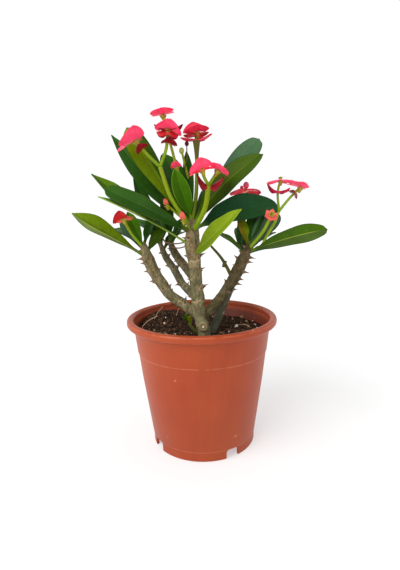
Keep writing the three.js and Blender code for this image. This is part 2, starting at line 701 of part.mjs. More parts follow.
// A leaf from a root point: a plate folded along its rib and bowed along its length.
function leafBlade(root, leaf) {
  const { tip, bow, sweep, roll } = leaf;
  const chord = vector(tip).sub(root);
  const heading = chord.clone().normalize();
  const face = UP.clone().addScaledVector(heading, -heading.z).normalize();
  const front = Math.sign(heading.x) || 1;
  face.applyAxisAngle(heading, radians(roll) * front);
  const side = new THREE.Vector3().crossVectors(heading, face);
  const upper = [];
  const lower = [];
  for (const share of LEAF.stations) {
    const half = share === 1 ? LEAF.point : leafHalfWidth(share, leaf);
    const arch = 4 * share * (1 - share);
    const thick = lerp(LEAF.petioleThick, LEAF.thick, smooth(share, 0.05, 0.3));
    const middle = root.clone().addScaledVector(chord, share);
    middle.addScaledVector(face, bow * arch).addScaledVector(side, sweep * arch * front);
    const rise = Math.tan(radians(LEAF.fold)) * half * smooth(share, 0.1, 0.3);
    const row = [-half, 0, half].map((across) =>
      middle.clone().addScaledVector(side, across).addScaledVector(face, across ? rise : 0),
    );
    upper.push(row.map((p) => p.clone().addScaledVector(face, thick / 2)));
    lower.push(row.map((p) => p.clone().addScaledVector(face, -thick / 2)));
  }
  return solid(plate(upper, lower));
}

// The point of a shoot's axis a given length below its tip.
const shootPoint = (name, below) => along(AXES[name], AXES[name].getLength() - below).point;

// Stalk axes, each from its shoot's axis or from the end of the stalk it forks from.
const STALK_AXES = {};
for (const [name, { shoot, below, from, path }] of Object.entries(STALKS)) {
  const start = from ? STALK_AXES[from].getPointAt(1) : shootPoint(shoot, below);
  STALK_AXES[name] = new THREE.CatmullRomCurve3([start, ...path.map(vector)], false, "centripetal");
}

const shootOf = (stalk) => STALKS[stalk].shoot ?? shootOf(STALKS[stalk].from);
const facingOf = (stalk) => vector(STALKS[stalk].facing).normalize();

// The size of a stalk's cup and funnel, as a share of a full-grown bloom's.
const bloomShare = (stalk) => Math.min(1, STALKS[stalk].radius / CUP.grown);

// The end of a flower stalk, turned about the bloom's axis: a funnel that carries the bracts, a narrow
// neck through them, and the cup above. Height 0 is the middle of the bracts.
function cup(stalk) {
  const { neck, belly, hollow, sunk, dish, sides } = CUP;
  const share = bloomShare(stalk);
  const [radius, height, funnel, funnelLength] =
    [CUP.radius, CUP.height, CUP.funnel, CUP.funnelLength].map((size) => size * share);
  const seat = BRACT.thick / 2 + GAP;
  const profile = [
    [0, -funnelLength],
    [neck, -funnelLength],
    [funnel, -seat - sunk - dish],
    [neck, -seat - sunk],
    [neck, seat],
    [radius, height * belly],
    [radius, height],
    [0, height - hollow],
  ];
  const turned = new THREE.LatheGeometry(profile.map(([r, z]) => new THREE.Vector2(r, z)), sides);
  const lift = new THREE.Quaternion().setFromUnitVectors(new THREE.Vector3(0, 1, 0), facingOf(stalk));
  const end = STALK_AXES[stalk].getPointAt(1);
  return solid(turned.applyQuaternion(lift).translate(end.x, end.y, end.z));
}

// A flower stalk ends inside its funnel, or where it forks.
function stalkRod(name) {
  const axis = STALK_AXES[name];
  const { radius, facing } = STALKS[name];
  const top = axis.getLength() - (facing ? CUP.funnelLength * bloomShare(name) * 0.5 : 0);
  return solid(rod(axis, 0, top, () => radius, FACETS.stalk));
}

function sheath() {
  const axis = STALK_AXES[SHEATH.stalk];
  const top = axis.getLength() - SHEATH.back;
  const foot = top - SHEATH.length;
  const radiusAt = (distance) =>
    lerp(STALKS[SHEATH.stalk].radius, SHEATH.radius, (distance - foot) / SHEATH.length);
  return solid(rod(axis, foot, top, radiusAt, FACETS.stalk));
}

// A leafy end of a stem, with its leaves, its spines and the flower stalks that grow from it.
function shoot(name) {
  const length = AXES[name].getLength();
  const foot = leafyStart(name);
  const core = stemRod(name, foot + GAP / 2, length, FACETS.shoot);
  const random = randomFrom(name.length);
  const spines = thorns(name, foot + THORN.every / 2, length - THORN.every / 2, random);
  const leaves = LEAVES[name].map((leaf) => leafBlade(shootPoint(name, leaf.below), leaf));
  const own = Object.keys(STALKS).filter((stalk) => shootOf(stalk) === name);
  const stalks = own.map(stalkRod);
  const cups = own.filter((stalk) => STALKS[stalk].facing).map(cup);
  if (own.includes(SHEATH.stalk)) cups.push(sheath());
  return joined([core, ...spines, ...leaves, ...stalks, ...cups]);
}

// ---------------------------------------------------------------------------------------------
// Bracts
// ---------------------------------------------------------------------------------------------

// How full a pair of bracts is at a share of its reach: a waist at the stalk, then two round lobes.
function bractFullness(share) {
  return Math.sqrt(Math.max(0, 1 - share ** 4)) * lerp(BRACT.waist, 1, smooth(share, 0, 0.5));
}

// Two opposite kidney-shaped bracts, grown together round the stalk. They lie along X.
function bractPlate({ size, sides, droops, dome }) {
  const shares = [-1, -0.93, -0.75, -0.45, -0.15, 0.15, 0.45, 0.75, 0.93, 1];
  const grid = (face) =>
    shares.map((share) => {
      const [left, right] = sides.map((side) =>
        Math.max(BRACT.bluntness, bractFullness(Math.abs(share)) * side * size),
      );
      const droop = Math.tan(radians(droops[share > 0 ? 1 : 0]));
      const upright = Math.hypot(1, 2 * droop * share, dome); // a sloping face is this much thicker
      const lift = (face * upright * BRACT.thick) / 2 - droop * size * share ** 2;
      return [
        new THREE.Vector3(share * size, left, lift - dome * left),
        new THREE.Vector3(share * size, 0, lift),
        new THREE.Vector3(share * size, -right, lift - dome * right),
      ];
    });
  return solid(plate(grid(1), grid(-1)));
}

// A pair of bracts in its place on its stalk, with a hole for it.
function bractPair(bracts) {
  const { stalk, back, size, turn, crossed } = bracts;
  const axis = STALK_AXES[stalk];
  const { point, heading } = along(axis, axis.getLength() - back);
  const facing = back ? heading : facingOf(stalk);
  const filled = back ? STALKS[stalk].radius + GAP / 2 : CUP.neck; // a stalk bends a little in its hole
  const radius = filled + 1.5 * GAP;
  const hole = new THREE.CylinderGeometry(radius, radius, size, CUP.sides).rotateX(Math.PI / 2);
  const lift = new THREE.Quaternion().setFromUnitVectors(UP, facing);
  const spin = new THREE.Quaternion().setFromAxisAngle(UP, radians(turn));
  const place = new THREE.Matrix4().makeRotationFromQuaternion(lift.multiply(spin)).setPosition(point);
  const pair = bractPlate(bracts);
  const lobes = crossed ? pair.add(pair.rotate([0, 0, 90])) : pair;
  return lobes.subtract(solid(hole)).transform(place.elements);
}

// ---------------------------------------------------------------------------------------------
// Assembly
// ---------------------------------------------------------------------------------------------

const plant = new THREE.Group();
plant.add(meshOf("pot", pot(), MATERIALS.pot));
plant.add(meshOf("soil", soil(), MATERIALS.soil));
plant.add(meshOf("stems", stems(), MATERIALS.bark));
for (const name of Object.keys(STEMS)) plant.add(meshOf(`shoot_${name}`, shoot(name), MATERIALS.leaf));
for (const [name, bracts] of Object.entries(BRACTS))
  plant.add(meshOf(`bracts_${name}`, bractPair(bracts), MATERIALS[bracts.colour]));

export default plant;
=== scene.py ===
"""A flowering crown of thorns in a plastic nursery pot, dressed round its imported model.

Lengths in the tables are millimetres and everything built is in metres, +Z up. -Y is the front, the side
that the blooms lean towards. Angles are degrees, apart from the camera's, which are radians.
"""
import math
import random
import bpy
import numpy as np
from mathutils import Matrix, Quaternion, Vector, kdtree


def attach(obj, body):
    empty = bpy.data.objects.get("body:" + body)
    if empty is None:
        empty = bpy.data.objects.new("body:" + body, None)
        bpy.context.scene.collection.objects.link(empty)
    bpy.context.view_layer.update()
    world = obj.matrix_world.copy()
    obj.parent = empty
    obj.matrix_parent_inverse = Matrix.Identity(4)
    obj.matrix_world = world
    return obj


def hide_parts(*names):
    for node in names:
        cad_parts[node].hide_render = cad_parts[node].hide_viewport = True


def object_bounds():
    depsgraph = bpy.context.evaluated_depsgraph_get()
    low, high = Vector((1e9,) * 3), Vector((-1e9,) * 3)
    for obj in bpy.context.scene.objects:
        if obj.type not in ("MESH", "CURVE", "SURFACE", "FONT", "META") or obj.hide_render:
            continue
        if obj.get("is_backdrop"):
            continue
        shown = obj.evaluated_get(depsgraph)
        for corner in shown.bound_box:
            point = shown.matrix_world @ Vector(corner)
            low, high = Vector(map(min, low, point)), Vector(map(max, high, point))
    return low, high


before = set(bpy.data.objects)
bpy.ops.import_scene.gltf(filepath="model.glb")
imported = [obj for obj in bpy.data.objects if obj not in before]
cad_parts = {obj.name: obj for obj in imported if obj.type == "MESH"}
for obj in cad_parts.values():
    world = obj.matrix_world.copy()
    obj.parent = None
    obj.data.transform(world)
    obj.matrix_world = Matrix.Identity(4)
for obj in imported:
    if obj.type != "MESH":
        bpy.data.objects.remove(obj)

CAD_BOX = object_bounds()
MM = 0.001
UP = Vector((0, 0, 1))

# ---- The plant's own dimensions, close to those in the part's source ----

# Radii and heights. "bend" and "top" are the radii at the stacking step and under the lip, and "roll" is
# the radius of the lip's edges.
POT = {
    "rim": 60, "height": 103.9, "lip": 5.7, "mouth": 54.6, "wall": 1.3, "top": 54.7, "bend": 52.3,
    "foot": 42, "foot_height": 7.6, "foot_wall": 2, "stack": 77.4, "step": 0.5, "floor": 5, "roll": 2.35,
}
# The drain notches in the foot: where they are, their sizes and how near the pot's axis they reach.
NOTCH = {"turns": (31, 121, 211, 301), "width": 11, "height": 7.1, "corner": 2.4, "reach": 37.5}
SOIL = {"level": 90, "radius": 52.2, "mound_at": (-36, 30), "mound_height": 9, "mound_spread": 22}

# Each stem: the points of its axis, the radius at each, and the lengths of its thornless foot and of its
# leafy end.
STEMS = {
    "centre": {
        "path": [(2, -13, 56), (1.5, -14, 90), (-1.5, -11, 113), (-3.5, -8.5, 127), (-4.2, -5.5, 143),
                 (-5.8, -3, 160), (-5.5, -1, 180)],
        "radii": [3.5, 5.2, 5.2, 5.3, 4.5, 6.2, 4.2], "foot": 44, "leafy": 32,
    },
    "left": {
        "path": [(-2, -11, 106), (-13, -8, 114), (-24, -8, 122), (-30, -8, 131), (-36, -8, 141),
                 (-40, -8, 151), (-44, -8, 163)],
        "radii": [4.2, 4.1, 4.1, 4.3, 4.5, 4.6, 2.6], "foot": 15, "leafy": 18,
    },
    "backLeft": {
        "path": [(-3, -8, 118), (-16, 6, 130), (-22, 14, 140), (-29, 21, 149), (-34, 27, 160)],
        "radii": [3.2, 3.1, 3, 3, 1.8], "foot": 15, "leafy": 12,
    },
    "backMiddle": {
        "path": [(-5, -5, 135), (-15, 5, 146), (-21, 10, 154), (-25, 15, 163)],
        "radii": [3.6, 3.5, 3.3, 1.8], "foot": 15, "leafy": 11,
    },
    "right": {
        "path": [(0, -12, 103), (9.5, -10, 113), (17, -9, 122), (23.5, -8, 131), (28.5, -8, 140),
                 (33, -7, 149), (39, -6, 161)],
        "radii": [4.1, 4, 4, 4.4, 4.7, 4.7, 2.2], "foot": 15, "leafy": 18,
    },
    "backRight": {
        "path": [(1, -11, 72), (8, -4, 90), (14, 1, 102), (20.5, 7, 115), (28, 15, 131), (36, 23, 151)],
        "radii": [3, 3.5, 3.4, 3.2, 3, 1.8], "foot": 32, "leafy": 13,
    },
}
# Most thorns are a little shorter than in the part's source. "sunk" is the length inside the stem.
THORN = {"shortest": 1.6, "longest": 3.4, "width": 0.9, "sunk": 1.6, "every": 6.8, "lean": 0.25}
THORN_PAIR = {"spread": 26, "turn": 137.5}

# Each leaf: tip, how far below the shoot's tip it grows, width, bow, roll, where it is broadest, taper,
# sweep to one side, how far its edge is waved, and its look.
LEAVES = {
    "centre": [
        ((-81, -2, 216), 8, 11, 1, 50, 0.76, 0.9, 6, 1.2, "olive"),
        ((-67, -24, 203), 11, 16, 5, 62, 0.72, 0.42, 1.5, 0.7, "deep"),
        ((-71, -27, 198), 21, 13, 2, 16, 0.72, 0.9, 0, 0.4, "striped"),
        ((-69, 22, 248), 5, 17, 2, 65, 0.52, 0.9, 2, 0.4, "dark"),
        ((-53, 0, 249), 4, 18, 0, 75, 0.76, 0.5, 2, 0.4, "halved"),
        ((-29, 30, 234), 3, 20, 3, 10, 0.65, 0.7, 0, 0.5, "dark"),
        ((-17, -22, 216), 2, 13, -2, 150, 0.6, 0.7, 0, 0.3, "bright"),
        ((-9, 8, 232), 1, 8, 2, 20, 0.65, 0.7, 0, 0.3, "dark"),
        ((46, -20, 225), 5, 21, 4, 66, 0.57, 0.6, -3, 0.5, "mossy"),
        ((50, 25, 243), 4, 18, 2, 60, 0.75, 0.42, -1, 0.4, "dusty"),
        ((64, 12, 188), 9, 23, 6, 60, 0.62, 0.5, -5, 0.6, "glossy"),
        ((28, -45, 187), 27, 22, 1, 60, 0.45, 0.8, 2, 0.3, "young"),
        ((-22, 57, 205), 9, 20, 6, 0, 0.7, 0.5, 0, 0.6, "back"),
        ((24, 58, 210), 7, 20, 6, 0, 0.7, 0.5, 0, 0.6, "back"),
        ((2, 59, 184), 15, 19, 9, 0, 0.7, 0.5, 0, 0.6, "back"),
    ],
    "left": [
        ((-95, -12, 187), 12, 18, 3, 38, 0.7, 0.9, 2, 0.3, "split"),
        ((-61, 12, 184), 5, 15, 2, 40, 0.65, 0.7, 0, 0.4, "dusty"),
        ((-55, -4, 187), 3, 9, 2, 60, 0.65, 0.7, 0, 0.3, "bright"),
        ((-34, 6, 185), 2, 11, 1, 0, 0.65, 0.7, 0, 0.4, "dark"),
        ((-27, 2, 176), 8, 10, 1, 40, 0.65, 0.7, 0, 0.3, "mossy"),
        ((-78, 22, 172), 8, 17, 6, 0, 0.7, 0.5, 0, 0.5, "back"),
    ],
    "backLeft": [
        ((-55, 34, 215), 2, 12, 2, 40, 0.6, 0.8, 0, 0.3, "dark"),
        ((-66, 48, 181), 5, 17, 6, 0, 0.7, 0.5, 0, 0.5, "back"),
        ((-36, 59, 184), 4, 16, 5, 0, 0.7, 0.5, 0, 0.5, "back"),
        ((-14, 52, 168), 7, 14, 4, 0, 0.7, 0.5, 0, 0.5, "back"),
    ],
    "backMiddle": [
        ((-30, 22, 200), 2, 12, 2, 0, 0.65, 0.7, 0, 0.4, "dark"),
        ((-8, 40, 182), 4, 13, 3, 0, 0.7, 0.5, 0, 0.4, "back"),
    ],
    "right": [
        ((95, -15, 171), 8, 15, 2, 62, 0.7, 0.45, -1, 0.5, "ribbed"),
        ((63, 14, 184), 5, 17, 3, 40, 0.65, 0.5, 0, 0.4, "dusty"),
        ((32, 10, 181), 4, 9, 1, 0, 0.65, 0.7, 0, 0.3, "brownish"),
        ((49, 16, 186), 3, 14, 2, 0, 0.65, 0.7, 0, 0.3, "dark"),
        ((11, 14, 170), 9, 10, 2, 0, 0.65, 0.7, 0, 0.3, "olive"),
        ((70, 42, 155), 8, 15, 0, 0, 0.7, 0.5, 0, 0.5, "back"),
    ],
    "backRight": [
        ((38, 24, 184), 2, 11, 2, 0, 0.65, 0.7, 0, 0.3, "dark"),
        ((56, 54, 166), 5, 16, 5, 0, 0.7, 0.5, 0, 0.5, "back"),
        ((40, 59.5, 170), 3, 15, 5, 0, 0.7, 0.5, 0, 0.5, "back"),
        ((66, 34, 167), 6, 13, 3, 0, 0.7, 0.5, 0, 0.5, "back"),
    ],
}
# Thickness of the petiole, the blade and the blade's edge, what the rib adds as a share of the petiole's,
# half the width of the point, how far each half is folded up, and the depth of the groove over the rib.
LEAF = {"petiole": 1.9, "blade": 0.9, "edge": 0.5, "rib": 0.3, "point": 0.5, "fold": 14, "groove": 0.35}

# Each flower stalk: the shoot or stalk it starts from, how far below that shoot's tip, its points, its
# radius and the way its bloom faces. One that faces nowhere ends in a fork.
STALKS = {
    "tall": ("centre", 7, [(-20, -8, 195), (-28, -12, 219)], 1.7, None),
    "tallLeft": ("tall", 0, [(-37, -16, 228), (-44, -18, 237)], 1.2, (-0.5, 0.1, 1)),
    "tallRight": ("tall", 0, [(-23, -13, 231), (-21, -14, 245)], 1.2, (0.2, 0.1, 1)),
    "top": ("centre", 4, [(-13, -1, 205), (-19, 0, 230), (-25.4, -1, 257.6)], 1.1, (-0.15, 0.05, 1)),
    "upright": ("centre", 3, [(-2, -6, 200), (-1, -4, 226), (-1, -1, 245)], 1.4, (-0.14, 0.1, 1)),
    "front": ("centre", 10, [(4, -15, 188), (7, -27, 204)], 1.9, None),
    "frontLeft": ("front", 0, [(4, -31, 209), (2, -33, 215)], 1.1, (-0.4, 0.1, 1)),
    "frontRight": ("front", 0, [(11, -27, 210), (14, -27, 214.5)], 1.1, (0.55, 0.1, 1)),
    "side": ("centre", 3, [(-11, -9, 205), (-16, -12, 219)], 0.9, (-0.2, 0.1, 1)),
    "bud": ("centre", 2, [(-7, 3, 205), (-12, 0, 230)], 0.9, (0, 0, 1)),
    "low": ("centre", 9, [(-12, -16, 181)], 0.9, (-0.15, 0.1, 1)),
    "lowLeft": ("centre", 6, [(-24.6, -7, 192)], 0.9, (-0.3, 0.1, 1)),
    "rightBack": ("right", 4, [(42, 18, 184), (38, 20, 203)], 1.2, (0, 0.3, 1)),
    "arch": ("right", 5, [(45.7, -7.5, 157.6), (51.4, -7.5, 167.4), (57.4, -5, 176.5), (61.3, -2, 185)],
             1.1, None),
    "archLeft": ("arch", 0, [(60.4, -1, 199.5), (62.3, -1, 208.5)], 0.9, (0, 0.1, 1)),
    "archRight": ("arch", 0, [(68, -3, 193.5), (77, -5, 203)], 1, (0.35, 0.1, 1)),
    "star": ("right", 6, [(48, -12, 171), (53, -15, 182)], 1.2, (0.1, -1, 0.6)),
    "leftLow": ("left", 4, [(-51, -14, 171), (-55.5, -22, 183)], 1.1, (-0.4, 0, 1)),
}
# A bloom's cup and the funnel below it. "grown" is the radius of a stalk whose bloom is full-grown.
CUP = {"neck": 0.9, "radius": 1.8, "height": 2.4, "funnel": 2.9, "length": 6, "seat": 0.9, "grown": 1.2}
# How much thicker a stalk is at its foot and thinner at its end.
STALK_TAPER = (1.08, 0.94)
# The leafy cone that carries the lower bracts of the upright bloom: how far back it ends, its length, its
# radius there, and how brown it and its stalk are.
SHEATH = {"stalk": "upright", "back": 7.4, "length": 13, "radius": 2.8, "rusty": 0.85, "stalk_rusty": 0.5}

# Each pair of bracts: its stalk, how far back from the stalk's end, one bract's length, how far its left
# and right sides reach as shares of that, the pair's turn about the stalk, how far the end of each bract
# droops and how far their sides do, and its colour. At a turn of 90 the first bract is the nearer one.
BRACTS = {
    "tall_left": ("tallLeft", 0, 11, (1.35, 0.6), 110, (-28, -25), 0.15, "pink"),
    "tall_left_lower": ("tallLeft", 7.5, 6.5, (0.8, 0.8), 90, (-30, -25), 0.22, "crimson"),
    "tall_right": ("tallRight", 0, 9.5, (1, 1.1), 92, (-22, -46), 0.4, "pink"),
    "tall_right_lower": ("tallRight", 9.5, 6.5, (0.65, 1.15), 105, (-28, -20), 0.3, "crimson"),
    "top": ("top", 0, 8.5, (1.12, 1.05), 90, (-14, -26), 0, "pink"),
    "upright": ("upright", 0, 9, (1.1, 1.08), 98, (-12, -48), 0.12, "pink"),
    "upright_lower": ("upright", 6.5, 11.5, (0.32, 0.32), 0, (-10, -20), 0.1, "crimson"),
    "front_left": ("frontLeft", 0, 10, (0.95, 0.75), 95, (-26, -18), 0.22, "pink"),
    "front_right": ("frontRight", 0, 8.5, (0.9, 1), 85, (-12, -12), 0.1, "pink"),
    "front_lower": ("front", 0.5, 9.5, (0.6, 0.6), 0, (-42, -42), 0.5, "crimson"),
    "side": ("side", 0, 5.5, (0.75, 0.75), 85, (-25, -20), 0.22, "pink"),
    "low": ("low", 0, 5, (0.5, 0.45), 90, (-45, -40), 0, "coral"),
    "low_left": ("lowLeft", 0, 4, (0.5, 0.5), 90, (-45, -40), 0, "coral"),
    "right_back": ("rightBack", 0, 13, (0.6, 0.6), 10, (16, 10), 0.22, "pink"),
    "arch_left": ("archLeft", 0, 9.5, (0.6, 0.6), 0, (10, 4), 0.3, "pink"),
    "arch_left_lower": ("archLeft", 8.5, 9, (0.55, 0.55), 0, (-31, -20), 0.5, "crimson"),
    "arch_right": ("archRight", 0, 9, (1.4, 0.6), 90, (-10, -8), 0.1, "pink"),
    "arch_right_lower": ("archRight", 6.5, 5.2, (0.75, 0.75), 60, (-12, -12), 0.7, "crimson"),
    "star": ("star", 0, 5.1, (0.45, 0.45), 15, (-12, -12), 0.22, "coral"),
    "left_low": ("leftLow", 0, 8, (1, 0.5), 95, (-32, -20), 0.3, "coral"),
}
CROSSED = "star"  # two more pairs cross this one
# Closed buds by stalk: their places from its end, their radii and shades. All are a little longer than
# wide.
BUD_LENGTH = 1.2
BUDS = {
    "bud": [((-0.4, 0, 1.6), 2.0, ("9aae48", "c4d080")), ((3.7, 0, 6.6), 1.6, ("3c0a10", "6c1420"))],
    "rightBack": [((0.6, 0, 3.4), 2.4, ("d8305c", "f47090")), ((-3, 0, 1.6), 1.4, ("c82c44", "e85a6c"))],
}
# The thin stalk of the dark bud, from the end of the stalk beside it, its radii and how brown it is.
BUD_STALK = {"beside": "bud", "path": [(1.2, 0, -12), (3.4, 0, -5), (3.6, 0, 1), (3.7, 0, 6)],
             "radii": (0.55, 0.4), "rusty": 0.9}
# Bracts that look other than their slot's colour.
OTHER_LOOKS = {"left_low": "scarlet", "upright": "rose", "upright_lower": "rose", "right_back": "rose",
               "arch_left_lower": "ruby", "star": "salmon"}
# Smaller lobes that show between the bracts, in the same terms, after the pair that each belongs to.
LOBES = [
    ("tall_right", "tallRight", 1.4, 7.8, (0.62, 0.62), 5, (14, 14), 1.0, "scarlet"),
    ("tall_right", "tallRight", 0.8, 10.5, (0.5, 0.5), -12, (-14, -22), 0.3, "crimson"),
    ("upright", "upright", 1.2, 9.5, (0.5, 0.5), 12, (14, -6), 0.3, "scarlet"),
    ("upright", "upright", 3.2, 7.5, (0.5, 0.5), 40, (10, 16), 0.2, "scarlet"),
    ("front_left", "frontLeft", 0.6, 9, (0.5, 0.5), 12, (-4, 12), 0.15, "rose"),
    ("left_low", "leftLow", 0.5, 6.5, (0.5, 0.5), 15, (-10, 25), 0.3, "coral"),
    ("right_back", "rightBack", 1.2, 9.5, (0.55, 0.55), 24, (30, 12), 0.2, "pale"),
]
NARROW = {"front_lower": 0.2}  # pairs with a thinner waist
# A bract's thickness. The rest are shares: the waist of a pair, how thick the rim is, how far it waves,
# how far it does so on the crossed pairs, and how far the point stands out.
BRACT = {"thick": 0.55, "waist": 0.62, "rim": 0.55, "wave": 0.038, "crossed_wave": 0.09, "point": 0.07}

# ---- Camera, light and floor ----

# "focal" and the picture's size are in pixels.
CAMERA = {"at": (0, -315, 186), "pitch": 0.181, "roll": -0.0227, "yaw": -0.0024, "focal": 400}
PICTURE = (400, 570)
SENSOR = 36
# A sun as wide as a softbox, and a sky that fades from the horizon to overhead between two heights.
KEY = {"from": (-0.62, -0.58, 0.75), "power": 1.9, "spread": 50}
SKY = {"horizon": 1.03, "overhead": 0.5, "fade": (0.45, 0.75)}
# The floor's size in metres, its depth below the pot, its greys and its glow.
FLOOR = {"size": 60, "drop": 0.2, "greys": (0.56, 0.58), "glow": 0.45}


def set_camera():
    data = bpy.data.cameras.new("camera")
    data.sensor_width = SENSOR
    data.lens = CAMERA["focal"] / max(PICTURE) * SENSOR
    data.clip_start = 0.01
    data.clip_end = 20
    camera = bpy.data.objects.new("camera", data)
    bpy.context.scene.collection.objects.link(camera)
    pitch, roll, yaw = CAMERA["pitch"], CAMERA["roll"], CAMERA["yaw"]
    turn = Matrix.Rotation(-yaw, 4, "Z") @ Matrix.Rotation(math.pi / 2 - pitch, 4, "X")
    turn = turn @ Matrix.Rotation(roll, 4, "Z")
    camera.matrix_world = Matrix.Translation(Vector(CAMERA["at"]) * MM) @ turn
    bpy.context.scene.camera = camera


def add_sun():
    data = bpy.data.lights.new("key", "SUN")
    data.energy = KEY["power"]
    data.angle = math.radians(KEY["spread"])
    light = bpy.data.objects.new("key", data)
    bpy.context.scene.collection.objects.link(light)
    light.matrix_world = Vector(KEY["from"]).to_track_quat("Z", "Y").to_matrix().to_4x4()


def light_studio():
    world = bpy.data.worlds.new("studio")
    world.use_nodes = True
    tree = world.node_tree
    place = tree.nodes.new("ShaderNodeTexCoord")
    split = tree.nodes.new("ShaderNodeSeparateXYZ")
    fade = tree.nodes.new("ShaderNodeMapRange")
    settings = (*SKY["fade"], SKY["horizon"], SKY["overhead"])
    for socket, value in zip(("From Min", "From Max", "To Min", "To Max"), settings):
        fade.inputs[socket].default_value = value
    tree.links.new(place.outputs["Generated"], split.inputs[0])
    tree.links.new(split.outputs["Z"], fade.inputs["Value"])
    tree.links.new(fade.outputs[0], tree.nodes["Background"].inputs["Strength"])
    tree.nodes["Background"].inputs["Color"].default_value = (1, 1, 1, 1)
    bpy.context.scene.world = world
    bpy.context.scene.view_settings.view_transform = "Standard"
    add_sun()


# ---- Modelling helpers ----

def alone(piece):
    """Makes a piece the only one that is selected."""
    bpy.ops.object.select_all(action="DESELECT")
    piece.select_set(True)
    bpy.context.view_layer.objects.active = piece


def added(name):
    """The primitive that was just added, named, with its place put into its mesh."""
    piece = bpy.context.object
    piece.name = piece.data.name = name
    alone(piece)
    bpy.ops.object.transform_apply(location=True, rotation=True, scale=True)
    return piece


def edit(piece):
    alone(piece)
    bpy.ops.object.mode_set(mode="EDIT")
    bpy.ops.mesh.select_all(action="SELECT")


def leave_edit():
    bpy.ops.object.mode_set(mode="OBJECT")


def modified(piece, kind, **settings):
    """Puts a modifier on a piece and applies it."""
    alone(piece)
    modifier = piece.modifiers.new(kind.title(), kind)
    for setting, value in settings.items():
        setattr(modifier, setting, value)
    bpy.ops.object.modifier_apply(modifier=modifier.name)
    return piece


def shaded(piece, angle=None):
    """Shades a piece smooth, all over or where its faces meet at less than an angle."""
    alone(piece)
    if angle:
        bpy.ops.object.shade_smooth_by_angle(angle=math.radians(angle))
    else:
        bpy.ops.object.shade_smooth()
    return piece


def face_outwards(piece):
    edit(piece)
    bpy.ops.mesh.remove_doubles(threshold=1e-6)
    bpy.ops.mesh.normals_make_consistent(inside=False)
    leave_edit()
    return piece


def copied(piece, name, place):
    """A copy of a piece, with its own mesh, put where a matrix says."""
    twin = piece.copy()
    twin.data = piece.data.copy()
    twin.name = twin.data.name = name
    bpy.context.scene.collection.objects.link(twin)
    twin.data.transform(place)
    return twin


def discarded(piece):
    bpy.data.objects.remove(piece)


def standing(spot, direction):
    """The place of a thing at a spot, with its own +Z along a direction."""
    return Matrix.Translation(spot) @ UP.rotation_difference(direction).to_matrix().to_4x4()


def joined(name, pieces):
    alone(pieces[0])
    for piece in pieces[1:]:
        piece.select_set(True)
    bpy.ops.object.join()
    whole = bpy.context.object
    whole.name = whole.data.name = name
    return whole


def places_of(piece):
    flat = np.empty(len(piece.data.vertices) * 3)
    piece.data.vertices.foreach_get("co", flat)
    return flat.reshape(-1, 3)


def mark(piece, name, values):
    """Stores a number for each point of a piece, or one for them all, for its finish to read."""
    layer = piece.data.attributes.new(name, "FLOAT", "POINT")
    layer.data.foreach_set("value", np.full(len(piece.data.vertices), values, np.float32))


def painted(piece, finish):
    piece.data.materials.clear()
    piece.data.materials.append(finish)
    return piece


def hand_in(piece, finish, slot, *nodes):
    """Gives a piece its finish, unless its parts have theirs, puts it under the root body and hides the
    imported parts that it stands for.
    """
    if finish:
        painted(piece, finish)
    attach(piece, "root")
    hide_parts(*nodes)


def turned(name, profile, segments):
    """A round body made of a circle that is extruded from each (radius, height) to the next."""
    radius, height = profile[0]
    bpy.ops.object.select_all(action="DESELECT")
    bpy.ops.mesh.primitive_circle_add(
        vertices=segments, radius=radius * MM, location=(0, 0, height * MM)
    )
    piece = added(name)
    edit(piece)
    for (radius, height), (wider, higher) in zip(profile, profile[1:]):
        rise = {"value": (0, 0, (higher - height) * MM)}
        bpy.ops.mesh.extrude_region_move(TRANSFORM_OT_translate=rise)
        share = wider / radius
        bpy.ops.transform.resize(value=(share, share, 1), center_override=(0, 0, higher * MM))
    bpy.ops.mesh.select_all(action="SELECT")
    bpy.ops.mesh.fill_holes(sides=0)
    leave_edit()
    return face_outwards(piece)


def rod(name, points, radii, sides):
    """A round rod through points in metres, made as a bevelled curve. Radii are in millimetres."""
    bpy.ops.object.select_all(action="DESELECT")
    bpy.ops.curve.primitive_bezier_curve_add(location=(0, 0, 0))
    curve = bpy.context.object.data
    curve.splines.clear()
    spline = curve.splines.new("POLY")
    spline.points.add(len(points) - 1)
    for spot, point, radius in zip(spline.points, points, radii):
        spot.co = (*point, 1)
        spot.radius = radius
    curve.dimensions = "3D"
    curve.bevel_depth = MM
    curve.bevel_resolution = (sides - 4) // 2
    curve.use_fill_caps = True
    bpy.ops.object.convert(target="MESH")
    return face_outwards(added(name))


def roughened(piece, patterns, **settings):
    """Moves the points of a piece by rough patterns, each with a name, a scale and a strength."""
    for name, scale, strength in patterns:
        pattern = bpy.data.textures.new(name, "CLOUDS")
        pattern.noise_scale = scale * MM
        settings.update(texture=pattern, texture_coords="LOCAL", strength=strength * MM, mid_level=0.5)
        modified(piece, "DISPLACE", **settings)


def shaped_sheet(name, columns, rows, thickness, shape):
    """A sheet made of a grid from -1 to 1 each way. For each of its points a function gives the new place,
    the share of the thickness, and the marks "across" and "along"."""
    bpy.ops.object.select_all(action="DESELECT")
    bpy.ops.mesh.primitive_grid_add(x_subdivisions=columns, y_subdivisions=rows, size=2)
    sheet = added(name)
    group = sheet.vertex_groups.new(name="thickness")
    across, along = [], []
    for vertex in sheet.data.vertices:
        vertex.co, weight, beside, out = shape(vertex.co.x, vertex.co.y)
        group.add([vertex.index], weight, "REPLACE")
        across.append(beside)
        along.append(out)
    mark(sheet, "across", across)
    mark(sheet, "along", along)
    weighted = {"vertex_group": "thickness", "thickness_vertex_group": 0.0}
    modified(sheet, "SOLIDIFY", thickness=thickness * MM, offset=0, **weighted)
    modified(face_outwards(sheet), "SUBSURF", levels=1, render_levels=1)
    sheet.vertex_groups.clear()
    return shaded(sheet)


